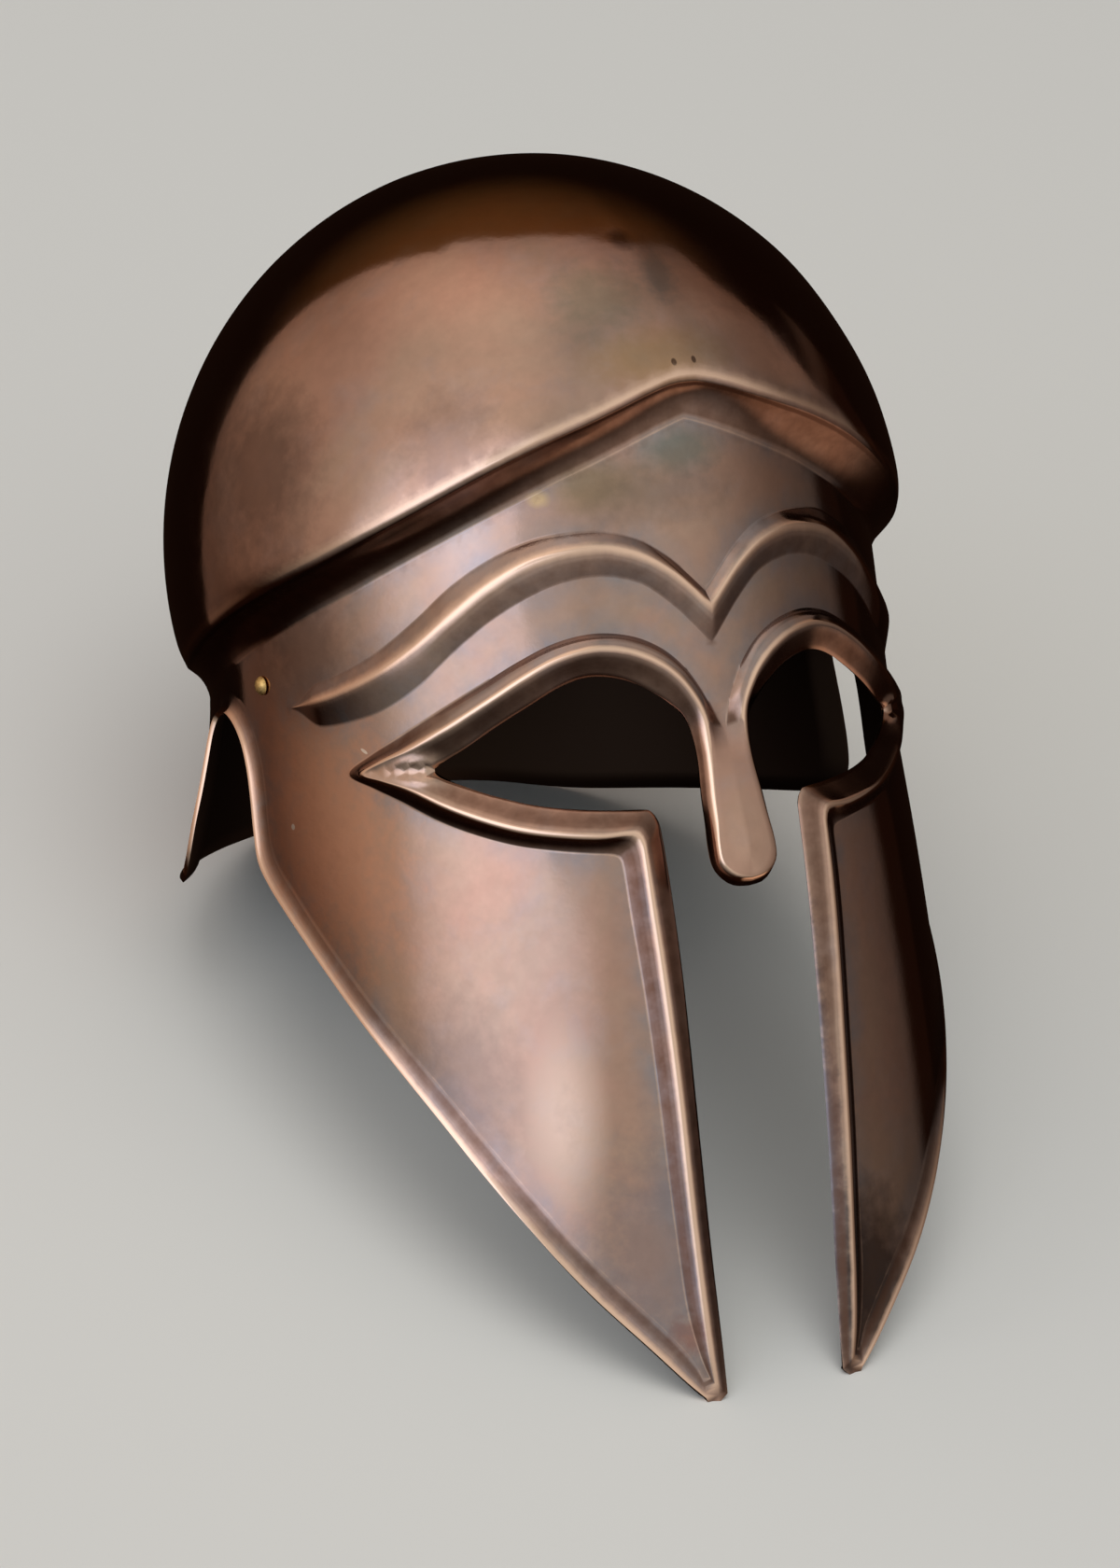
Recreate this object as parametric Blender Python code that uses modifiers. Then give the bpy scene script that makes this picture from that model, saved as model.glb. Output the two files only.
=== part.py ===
"""Italo-corinthian helmet, raised from one bronze sheet, with a brass rivet on each side.

The shell is worked out on a flat pattern and then wrapped round the head. On the pattern,
"around" is the distance from the middle of the face along the sheet and "height" is the height
above the root of the nose guard, both in millimetres. Only the wearer's left half is laid out,
and a Mirror makes the other half. The finished helmet leans back and stands on the two cheek
tips and on the rim of the neck guard.
"""
import bpy
import bmesh
import math
from mathutils import Matrix, Vector
from mathutils.geometry import delaunay_2d_cdt

MM = 0.001

# ---- driving dimensions, in millimetres unless named otherwise --------------------------
SHEET = 1.4
HEAD_CENTRE_BACK = 112.0
PATTERN_HALF_WIDTH = 100.0
DOME_HALF_WIDTH = 106.0
DOME_HALF_LENGTH = 123.0
DOME_HEIGHT = 114.0
DOME_CENTRE_HEIGHT = 51.0
DOME_FULLNESS = 0.015
NECK_HALF_LENGTH = 109.0
NECK_FLARE = 11.0
NECK_FLARE_FROM = 16.0
NECK_FLARE_TO = -35.0
BROW_HEIGHT = 3.8
LEDGE_HOLLOW = 0.9
TIP_FILED = 1.0
PATTERN_STEP = 11.5
BORDER_STEP = 7.0
DOME_ROWS = 10

RIVET_AROUND = 147.0
RIVET_HEIGHT = 21.0
RIVET_HEAD_RADIUS = 2.8
RIVET_HEAD_RISE = 1.7
RIVET_SHANK_RADIUS = 1.3
RIVET_TAIL_RADIUS = 2.2
RIVET_TAIL_RISE = 1.0
RIVET_GAP = 0.32

# cross-sections of the face and cheeks: columns height, half_width, front, fullness
SECTIONS = (
    (-190.0, 98.6, -1.0, -0.040),
    (-150.0, 99.0, -2.6, -0.036),
    (-100.0, 99.2, -4.6, -0.026),
    (-45.0, 98.3, -4.6, -0.006),
    (0.0, 97.5, -1.0, 0.014),
    (40.0, 97.5, 1.2, 0.022),
    (65.0, 98.5, 2.8, 0.042),
    (90.0, 100.0, 4.2, 0.058),
)

# ledge between the face and the dome: columns around, inner_height, outer_height
LEDGE = (
    (0.0, 83.5, 94.8),
    (4.0, 82.3, 94.5),
    (12.0, 79.5, 92.2),
    (20.0, 76.5, 89.3),
    (28.0, 73.5, 86.4),
    (38.0, 70.0, 83.0),
    (50.0, 65.5, 78.5),
    (62.0, 61.0, 73.6),
    (75.0, 56.0, 68.2),
    (90.0, 50.5, 62.3),
    (107.0, 44.5, 56.2),
    (122.0, 39.8, 51.5),
    (139.0, 34.5, 46.4),
    (155.0, 29.6, 41.5),
    (172.0, 24.6, 36.2),
    (190.0, 20.0, 31.2),
    (215.0, 16.0, 26.8),
    (250.0, 12.5, 23.0),
    (290.0, 10.5, 21.0),
    (334.0, 10.0, 20.5),
)

# half-round brow ridge: columns around, upper_crease, crest, lower_crease
BROW = (
    (0.0, 36.5, 32.5, 22.5),
    (5.0, 42.0, 38.0, 28.5),
    (10.0, 47.0, 42.8, 34.0),
    (18.0, 52.5, 48.0, 40.5),
    (28.0, 55.0, 50.8, 43.5),
    (38.0, 54.5, 50.0, 43.3),
    (48.0, 52.0, 46.8, 40.5),
    (60.0, 47.0, 41.2, 35.2),
    (72.0, 41.5, 34.8, 29.2),
    (84.0, 35.0, 28.4, 23.0),
    (97.0, 28.5, 22.4, 17.4),
    (112.0, 23.0, 17.8, 13.2),
    (124.0, 20.4, 15.6, 11.4),
    (134.0, 18.6, 14.4, 10.6),
)
BROW_FADE_FROM = 114.0
BROW_END = 134.0

# raised border of the nose guard, eye and front edge, from the nose tip to the cheek tip:
# columns edge_around, edge_height, edge_rise, crest_around, crest_height, crest_rise,
# crease_around, crease_height, crease_rise
BORDER = (
    (0.0, -43.8, 2.6, 0.0, -41.4, 6.4, 0.0, -37.0, 7.2),
    (4.2, -43.2, 2.6, 3.2, -41.0, 6.4, 0.0, -35.5, 7.1),
    (7.6, -41.0, 2.4, 5.9, -39.4, 6.2, 0.0, -33.5, 6.9),
    (9.8, -37.4, 2.0, 7.9, -36.4, 5.8, 0.0, -31.0, 6.6),
    (10.1, -32.0, 1.4, 8.2, -31.8, 5.2, 0.0, -27.5, 6.1),
    (9.5, -25.5, 0.8, 7.5, -25.8, 4.6, 0.0, -22.5, 5.4),
    (8.9, -18.0, 0.0, 6.9, -18.5, 3.8, 0.0, -16.5, 4.5),
    (8.3, -9.0, -0.8, 6.2, -9.5, 3.2, 0.0, -9.5, 3.5),
    (8.8, -2.0, -1.2, 6.0, -1.5, 3.2, 0.0, -3.5, 2.2),
    (10.2, 3.0, -1.2, 6.4, 4.5, 3.5, 0.6, 1.5, 0.5),
    (13.5, 7.0, -1.0, 8.7, 10.0, 3.8, 4.2, 10.0, 0.0),
    (17.8, 10.6, -0.8, 12.2, 15.0, 4.0, 9.0, 17.0, 0.0),
    (23.5, 14.2, -0.8, 17.5, 19.4, 4.0, 15.0, 22.8, 0.0),
    (30.0, 16.4, -0.8, 24.5, 22.8, 4.0, 23.0, 26.8, 0.0),
    (36.5, 16.8, -0.8, 33.0, 24.2, 4.0, 33.0, 28.4, 0.0),
    (43.5, 15.0, -0.8, 42.5, 22.5, 4.0, 43.5, 26.9, 0.0),
    (52.0, 11.0, -0.8, 52.0, 18.4, 4.0, 54.0, 22.9, 0.0),
    (62.5, 5.8, -0.8, 63.0, 12.6, 4.0, 66.0, 17.2, 0.0),
    (72.0, 0.8, -0.8, 75.5, 6.4, 3.9, 79.5, 10.9, 0.0),
    (78.6, -2.2, -0.8, 88.0, 1.2, 3.7, 93.0, 4.7, 0.0),
    (81.2, -3.6, -0.8, 97.0, -1.6, 3.4, 103.0, 0.4, 0.0),
    (82.2, -4.7, -0.8, 104.0, -4.6, 3.0, 111.5, -4.4, 0.0),
    (80.8, -6.0, -0.8, 97.0, -6.8, 3.4, 102.5, -8.6, 0.0),
    (77.6, -7.8, -0.8, 88.0, -9.6, 3.6, 93.0, -12.8, 0.0),
    (71.0, -10.6, -0.8, 78.0, -14.4, 3.8, 82.0, -18.4, 0.0),
    (63.0, -13.4, -0.8, 68.0, -18.6, 3.8, 71.5, -22.8, 0.0),
    (53.5, -16.2, -0.8, 57.5, -22.2, 3.9, 60.0, -26.6, 0.0),
    (43.0, -18.2, -0.8, 46.5, -24.6, 4.0, 49.0, -28.9, 0.0),
    (33.0, -19.4, -0.8, 37.0, -25.9, 4.0, 40.0, -30.4, 0.0),
    (25.2, -20.0, -0.8, 30.2, -25.8, 4.0, 34.4, -31.4, 0.0),
    (23.0, -20.8, -0.8, 27.6, -26.4, 3.9, 32.8, -32.6, 0.0),
    (21.4, -23.6, -0.8, 26.1, -29.2, 3.8, 31.9, -34.8, 0.0),
    (20.9, -29.0, -0.8, 25.6, -34.2, 3.7, 31.5, -40.0, 0.0),
    (20.5, -45.0, -0.8, 25.1, -47.2, 3.6, 31.0, -51.0, 0.0),
    (20.0, -70.0, -0.8, 24.4, -70.8, 3.5, 30.2, -72.0, 0.0),
    (19.4, -100.0, -0.8, 23.7, -100.5, 3.4, 29.2, -101.0, 0.0),
    (18.8, -130.0, -0.7, 22.9, -130.0, 3.2, 28.0, -130.0, 0.0),
    (18.2, -155.0, -0.5, 22.0, -155.0, 2.8, 26.8, -155.0, 0.2),
    (17.8, -172.0, -0.3, 21.2, -170.5, 2.2, 24.6, -169.0, 0.6),
    (17.8, -181.5, 0.0, 20.6, -179.0, 1.2, 22.4, -176.5, 0.9),
)

# turned-out rear edge of the cheek, the notch and the rim of the neck guard:
# columns edge_around, edge_height, lip, foot_around, foot_height
REAR = (
    (24.0, -181.8, 0.8, 24.2, -176.6),
    (29.0, -176.4, 1.0, 26.8, -170.6),
    (38.0, -165.6, 1.3, 34.2, -160.6),
    (49.6, -152.0, 1.5, 45.4, -147.4),
    (58.6, -140.4, 1.5, 54.2, -136.0),
    (66.6, -129.4, 1.4, 62.0, -125.2),
    (77.2, -115.0, 1.2, 72.6, -110.8),
    (87.4, -101.6, 1.0, 82.8, -97.6),
    (98.2, -88.6, 1.0, 93.8, -84.4),
    (109.4, -76.0, 1.1, 105.2, -71.6),
    (121.6, -63.0, 1.3, 117.6, -58.4),
    (133.0, -51.6, 1.6, 129.2, -46.8),
    (142.6, -42.6, 1.9, 138.6, -37.6),
    (150.6, -35.2, 2.1, 146.4, -30.4),
    (155.4, -28.8, 2.4, 149.8, -24.8),
    (156.6, -20.0, 2.4, 150.8, -18.4),
    (156.8, -10.0, 2.4, 151.0, -9.0),
    (157.6, -2.0, 2.4, 152.0, 0.0),
    (160.0, 5.4, 2.4, 155.0, 8.6),
    (164.8, 11.0, 2.4, 161.0, 15.8),
    (171.0, 13.6, 2.6, 169.8, 19.2),
    (176.6, 12.6, 3.2, 180.8, 17.0),
    (179.4, 7.6, 4.0, 185.2, 9.4),
    (181.0, 0.0, 4.4, 187.2, 1.0),
    (182.8, -10.0, 4.6, 189.2, -8.8),
    (185.2, -21.0, 4.6, 191.6, -19.0),
    (188.6, -30.6, 4.0, 194.4, -26.8),
    (195.0, -35.2, 3.2, 198.6, -30.2),
    (207.0, -35.6, 2.8, 208.4, -30.2),
    (226.0, -34.4, 2.6, 226.6, -29.0),
    (250.0, -32.6, 2.4, 250.2, -27.2),
    (276.0, -30.6, 2.4, 276.2, -25.2),
    (290.0, -28.4, 2.4, 290.1, -23.0),
    (304.0, -25.4, 2.4, 304.0, -20.0),
    (318.0, -23.4, 2.4, 318.0, -18.0),
    (334.0, -22.6, 2.4, 334.0, -17.2),
)


# ---- flat-pattern tools -----------------------------------------------------------------
def column(rows, x, index):
    """Read one column of a table whose first column runs upward, on a smooth curve."""
    last = len(rows) - 1
    if x <= rows[0][0]:
        return rows[0][index]
    if x >= rows[last][0]:
        return rows[last][index]
    k = 0
    while rows[k + 1][0] < x:
        k += 1
    x0, x1 = rows[k][0], rows[k + 1][0]
    y0, y1 = rows[k][index], rows[k + 1][index]
    slope = (y1 - y0) / (x1 - x0)
    before = slope
    after = slope
    if k > 0:
        before = (y1 - rows[k - 1][index]) / (x1 - rows[k - 1][0])
    if k + 2 <= last:
        after = (rows[k + 2][index] - y0) / (rows[k + 2][0] - x0)
    t = (x - x0) / (x1 - x0)
    width = x1 - x0
    a = (2 * t ** 3 - 3 * t ** 2 + 1) * y0 + (t ** 3 - 2 * t ** 2 + t) * width * before
    b = (3 * t ** 2 - 2 * t ** 3) * y1 + (t ** 3 - t ** 2) * width * after
    return a + b


def smooth_rows(rows, step):
    """Run a smooth curve through the rows of a table and read it off every step or so."""
    out = []
    for k in range(len(rows) - 1):
        p0 = rows[max(k - 1, 0)]
        p1, p2 = rows[k], rows[k + 1]
        p3 = rows[min(k + 2, len(rows) - 1)]
        reach = math.hypot(p2[0] - p1[0], p2[1] - p1[1])
        pieces = max(1, round(reach / step))
        for j in range(pieces):
            t = j / pieces
            row = []
            for a, b, c, d in zip(p0, p1, p2, p3):
                row.append(b + 0.5 * t * (c - a + t * (2 * a - 5 * b + 4 * c - d
                                                       + t * (3 * (b - c) + d - a))))
            out.append(tuple(row))
    out.append(tuple(rows[-1]))
    return out


def ease(t):
    t = min(1.0, max(0.0, t))
    return t * t * (3.0 - 2.0 * t)


def oval(angle, half_width, half_length):
    return 1.0 / math.hypot(math.sin(angle) / half_width, math.cos(angle) / half_length)


def pattern_angles():
    """Distance along the pattern's level section against the angle round the head."""
    table = [(0.0, 0.0)]
    count = 720
    spot = Vector((0.0, -HEAD_CENTRE_BACK))
    for k in range(1, count + 1):
        angle = math.pi * k / count
        r = oval(angle, PATTERN_HALF_WIDTH, HEAD_CENTRE_BACK)
        new = Vector((r * math.sin(angle), -r * math.cos(angle)))
        table.append((table[-1][0] + (new - spot).length, angle))
        spot = new
    return table


ANGLES = pattern_angles()
BACK = ANGLES[-1][0]


def angle_at(around):
    if around >= BACK:
        return math.pi
    low, high = 0, len(ANGLES) - 1
    while high - low > 1:
        mid = (low + high) // 2
        if ANGLES[mid][0] <= around:
            low = mid
        else:
            high = mid
    a, b = ANGLES[low], ANGLES[high]
    return a[1] + (b[1] - a[1]) * (around - a[0]) / (b[0] - a[0])


def sheet_point(around, height):
    """Plain sheet below the ledge, before any relief."""
    angle = angle_at(around)
    half_width = column(SECTIONS, height, 1)
    front = HEAD_CENTRE_BACK - column(SECTIONS, height, 2)
    if angle < math.pi / 2:
        bulge = 1.0 - column(SECTIONS, height, 3) * math.sin(2 * angle) ** 2
        r = oval(angle, half_width, front) * bulge
    else:
        r = oval(angle, half_width, NECK_HALF_LENGTH)
    drop = (NECK_FLARE_FROM - height) / (NECK_FLARE_FROM - NECK_FLARE_TO)
    r += NECK_FLARE * ease((around - 158.0) / 26.0) * max(0.0, drop) ** 1.3
    return Vector((r * math.sin(angle), HEAD_CENTRE_BACK - r * math.cos(angle), height))


def sheet_normal(around, height):
    near = min(max(around, 0.5), BACK - 0.5)
    across = sheet_point(near + 0.5, height) - sheet_point(near - 0.5, height)
    up = sheet_point(near, height + 0.5) - sheet_point(near, height - 0.5)
    n = across.cross(up).normalized()
    if around <= 0.0 or around >= BACK:
        n.x = 0.0
        n.normalize()
    return n


def raised(around, height, rise):
    p = sheet_point(around, height) + sheet_normal(around, height) * rise
    if around <= 0.0 or around >= BACK:
        p.x = 0.0
    return p


def dome_point(around, height):
    angle = angle_at(around)
    level = min(1.0, max(-1.0, (height - DOME_CENTRE_HEIGHT) / DOME_HEIGHT))
    k = math.sqrt(1.0 - level * level)
    r = oval(angle, DOME_HALF_WIDTH, DOME_HALF_LENGTH) * k
    if angle < math.pi / 2:
        r *= 1.0 - DOME_FULLNESS * math.sin(2 * angle) ** 2 * k ** 4
    p = Vector((r * math.sin(angle), HEAD_CENTRE_BACK - r * math.cos(angle), height))
    if around <= 0.0 or around >= BACK:
        p.x = 0.0
    return p


# ---- half shell -------------------------------------------------------------------------
class Pattern:
    """Points of the flat pattern with their rise, and the lines that hold its edges."""

    def __init__(self):
        self.spots = []
        self.rises = []
        self.lines = []

    def spot(self, around, height, rise):
        for k, p in enumerate(self.spots):
            if abs(p[0] - around) < 0.02 and abs(p[1] - height) < 0.02:
                return k
        self.spots.append(Vector((around, height)))
        self.rises.append(rise)
        return len(self.spots) - 1

    def line(self, places):
        chain = [self.spot(*p) for p in places]
        for a, b in zip(chain, chain[1:]):
            if a != b:
                self.lines.append((a, b))
        return chain


def blend(row_a, row_b, t):
    return row_a + (row_b - row_a) * t


def lay_border(pattern):
    """Border of the openings: edge, inner slope, rounded crest, outer slope, crease."""
    rows = smooth_rows(BORDER, BORDER_STEP)
    tracks = [[], [], [], [], [], []]
    for row in rows:
        e, c, f = row[0:3], row[3:6], row[6:9]
        stops = (
            e,
            (blend(e[0], c[0], 0.60), blend(e[1], c[1], 0.60), blend(e[2], c[2], 0.74)),
            c,
            (blend(c[0], f[0], 0.30), blend(c[1], f[1], 0.30), blend(c[2], f[2], 0.10)),
            (blend(c[0], f[0], 0.68), blend(c[1], f[1], 0.68), blend(c[2], f[2], 0.54)),
            f,
        )
        for track, stop in zip(tracks, stops):
            track.append((max(0.0, stop[0]), stop[1], stop[2]))
    for track in tracks:
        pattern.line(track)
    pattern.line([track[-1] for track in tracks])
    return tracks


def lay_rear(pattern, front_tip):
    """Rear edge, notch and neck rim, turned out in a hollow lip."""
    rows = smooth_rows(REAR, BORDER_STEP * 1.3)
    tracks = [[], [], []]
    for row in rows:
        e, lip, f = row[0:2], row[2], row[3:5]
        for track, t, lift in zip(tracks, (0.0, 0.5, 1.0), (1.0, 0.32, 0.0)):
            x = min(BACK, blend(e[0], f[0], t))
            track.append((x, blend(e[1], f[1], t), lip * lift))
    for track in tracks:
        pattern.line(track)
    pattern.line([front_tip, (20.6, -184.0, 0.0), (23.2, -184.0, 0.0), tracks[0][0]])
    return tracks


def lay_brow(pattern):
    tracks = [[], [], [], [], []]
    steps = round(BROW_END / BORDER_STEP)
    for k in range(steps + 1):
        x = BROW_END * k / steps
        up, crest, low = (column(BROW, x, i) for i in (1, 2, 3))
        rise = BROW_HEIGHT * (1.0 - ease((x - BROW_FADE_FROM) / (BROW_END - BROW_FADE_FROM)))
        places = (up, blend(crest, up, 0.72), crest, blend(crest, low, 0.70), low)
        for track, y, part in zip(tracks, places, (0.0, 0.69, 1.0, 0.71, 0.0)):
            track.append((x, y, rise * part))
    for track in tracks:
        pattern.line(track)
    return tracks


def inside(polygon, x, y):
    hit = False
    for (x0, y0), (x1, y1) in zip(polygon, polygon[1:] + polygon[:1]):
        if (y0 > y) != (y1 > y) and x < x0 + (x1 - x0) * (y - y0) / (y1 - y0):
            hit = not hit
    return hit


def ledge_columns():
    """Places round the head where the ledge and the dome have a row of points."""
    count = round(BACK / (PATTERN_STEP * 0.8))
    return [BACK * k / count for k in range(count + 1)]


def half_shell():
    pattern = Pattern()
    border = lay_border(pattern)
    rear = lay_rear(pattern, border[0][-1])
    brow = lay_brow(pattern)
    places = ledge_columns()
    ledge = [(x, column(LEDGE, x, 1), 0.0) for x in places]
    pattern.line(ledge)
    rear_line = [(BACK, y, 0.0) for y in (-8.0, 1.0)]
    pattern.line([track[-1] for track in rear] + rear_line + [ledge[-1]])
    middle = [(0.0, y, 0.0) for y in (8.0, 15.0, 45.0, 54.0, 64.0, 74.0)]
    pattern.line([p for p in middle if p[1] > 0.0])
    on_middle = sorted((p.y, k) for k, p in enumerate(pattern.spots) if p.x < 1e-6)
    pattern.lines += [(a[1], b[1]) for a, b in zip(on_middle, on_middle[1:])]

    ring = []
    for k in range(9):
        turn = math.tau * (k % 8 + 0.3) / 8
        ring.append((RIVET_AROUND + 3.2 * math.cos(turn), RIVET_HEIGHT + 3.2 * math.sin(turn), 0.0))
    pattern.line(ring)

    outline = [(p[0], p[1]) for p in border[0]]
    outline += [(20.6, -184.0), (23.2, -184.0)]
    outline += [(p[0], p[1]) for p in rear[0]]
    outline += [(p[0], p[1]) for p in reversed(ledge)]

    zones = []
    zones.append([p[:2] for p in border[0]] + [p[:2] for p in reversed(border[5])])
    zones.append([p[:2] for p in rear[0]] + [p[:2] for p in reversed(rear[2])])
    zones.append([p[:2] for p in brow[0]] + [p[:2] for p in reversed(brow[4])])
    held = [Vector(p) for p in pattern.spots]
    y = -180.0
    row = 0
    while y < 90.0:
        x = PATTERN_STEP * (0.5 if row % 2 else 1.0)
        while x < BACK - 3.0:
            if inside(outline, x, y) and not any(inside(z, x, y) for z in zones):
                if all(abs(p.x - x) + abs(p.y - y) > PATTERN_STEP * 0.45
                       and math.hypot(p.x - x, p.y - y) > PATTERN_STEP * 0.5 for p in held):
                    pattern.spots.append(Vector((x, y)))
                    pattern.rises.append(0.0)
            x += PATTERN_STEP
        y += PATTERN_STEP * 0.87
        row += 1

    result = delaunay_2d_cdt(pattern.spots, pattern.lines, [], 0, 1e-5)
    flat, faces, origins = result[0], result[2], result[3]
    points = []
    for p, source in zip(flat, origins):
        points.append(raised(p.x, p.y, pattern.rises[source[0]] if source else 0.0))
    kept = []
    for face in faces:
        cx = sum(flat[i].x for i in face) / 3.0
        cy = sum(flat[i].y for i in face) / 3.0
        if inside(outline, cx, cy):
            kept.append(tuple(face))

    columns = []
    for x, y, _ in ledge:
        nearest = min(range(len(flat)), key=lambda i: (flat[i].x - x) ** 2 + (flat[i].y - y) ** 2)
        columns.append([nearest])
    add_dome(points, kept, columns, places)
    return points, kept


def add_dome(points, kept, columns, places):
    """Hollow ledge, rolled edge and dome, in columns that start at the ledge's inner line."""
    for chain, x in zip(columns, places):
        foot = points[chain[0]]
        top = column(LEDGE, x, 2)
        edge = dome_point(x, top - 0.4)
        out = Vector((edge.x, edge.y - HEAD_CENTRE_BACK, 0.0)).normalized()
        lip = edge - out * 2.2 - Vector((0.0, 0.0, 2.4))
        hollow = Vector((-out.x, -out.y, 0.9)).normalized() * LEDGE_HOLLOW
        rows = []
        for t, depth in ((0.25, 0.75), (0.5, 1.0), (0.75, 0.75)):
            rows.append(foot.lerp(lip, t) + hollow * depth)
        rows += [lip, edge - out * 0.6 - Vector((0.0, 0.0, 1.1)), edge, dome_point(x, top + 1.6)]
        start = math.asin((top + 1.6 - DOME_CENTRE_HEIGHT) / DOME_HEIGHT)
        for k in range(1, DOME_ROWS):
            turn = start + (math.pi / 2 - start) * k / DOME_ROWS
            rows.append(dome_point(x, DOME_CENTRE_HEIGHT + DOME_HEIGHT * math.sin(turn)))
        for p in rows:
            if x <= 0.0 or x >= BACK:
                p.x = 0.0
            points.append(p)
            chain.append(len(points) - 1)
    points.append(Vector((0.0, HEAD_CENTRE_BACK, DOME_CENTRE_HEIGHT + DOME_HEIGHT)))
    apex = len(points) - 1
    for left, right in zip(columns, columns[1:]):
        for k in range(len(left) - 1):
            kept.append((left[k], right[k], right[k + 1], left[k + 1]))
        kept.append((left[-1], right[-1], apex))


# ---- Blender objects --------------------------------------------------------------------
def collection(name):
    found = bpy.data.collections.new(name)
    bpy.context.scene.collection.children.link(found)
    return found


def material(name, colour, roughness):
    made = bpy.data.materials.new(name)
    made.use_nodes = True
    node = made.node_tree.nodes["Principled BSDF"]
    node.inputs["Base Color"].default_value = colour
    node.inputs["Metallic"].default_value = 1.0
    node.inputs["Roughness"].default_value = roughness
    return made


def mesh_object(name, home, surface, parent):
    made = bpy.data.objects.new(name, bpy.data.meshes.new(name))
    made.data.materials.append(surface)
    home.objects.link(made)
    made.parent = parent
    return made


def modifier(target, kind, **settings):
    made = target.modifiers.new(kind.title(), kind)
    for key, value in settings.items():
        setattr(made, key, value)
    return made


def rivet_frame(side):
    """Rivet axis: its origin on the outer face of the sheet and z pointing outward."""
    p = sheet_point(RIVET_AROUND, RIVET_HEIGHT)
    n = sheet_normal(RIVET_AROUND, RIVET_HEIGHT)
    p.x *= side
    n.x *= side
    turn = n.to_track_quat("Z", "Y").to_matrix().to_4x4()
    return Matrix.Translation(p * MM) @ turn


def lathe(target, outline, segments, matrix):
    """Turn an outline of (radius, height) millimetres about the axis."""
    work = bmesh.new()
    chain = [work.verts.new((r * MM, 0.0, z * MM)) for r, z in outline]
    edges = [work.edges.new(pair) for pair in zip(chain, chain[1:])]
    bmesh.ops.spin(work, geom=chain + edges, cent=(0, 0, 0), axis=(0, 0, 1),
                   angle=math.tau, steps=segments, use_merge=True)
    bmesh.ops.remove_doubles(work, verts=work.verts, dist=0.000002)
    bmesh.ops.recalc_face_normals(work, faces=work.faces)
    work.transform(matrix)
    work.to_mesh(target.data)
    work.free()
    for face in target.data.polygons:
        face.use_smooth = True


def settle(shell, stance):
    """Lean the shell back until its filed cheek tips and its neck rim stand on one floor."""
    ready = shell.evaluated_get(bpy.context.evaluated_depsgraph_get())
    spots = [v.co.copy() for v in ready.data.vertices]
    tips = [p for p in spots if p.z < -0.15]
    rim = [p for p in spots if p.y > 0.19 and p.z < 0.0]

    def level(group, tilt):
        return min(p.z * math.cos(tilt) - p.y * math.sin(tilt) for p in group)

    low, high = math.radians(20.0), math.radians(45.0)
    for _ in range(60):
        tilt = 0.5 * (low + high)
        if level(tips, tilt) + TIP_FILED * MM < level(rim, tilt):
            low = tilt
        else:
            high = tilt
    reach = [p.y * math.cos(tilt) + p.z * math.sin(tilt) for p in spots]
    stance.rotation_euler = (-tilt, 0.0, 0.0)
    stance.location = (0.0, -0.5 * (min(reach) + max(reach)), -level(rim, tilt))
    bpy.context.view_layer.update()


def file_tips(shell, tools, surface):
    """Cut the two cheek tips off flat where they stand on the floor."""
    block = mesh_object("tip_file", tools, surface, None)
    tip = shell.matrix_world @ (sheet_point(20.9, -184.0) * MM)
    work = bmesh.new()
    size = Matrix.Diagonal((0.12, 0.03, 0.01, 1.0))
    bmesh.ops.create_cube(work, size=1.0, matrix=Matrix.Translation((0, tip.y, -0.005)) @ size)
    work.to_mesh(block.data)
    work.free()
    block.hide_render = True
    block.display_type = "WIRE"
    modifier(shell, "BOOLEAN", operation="DIFFERENCE", solver="EXACT", object=block)


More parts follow.
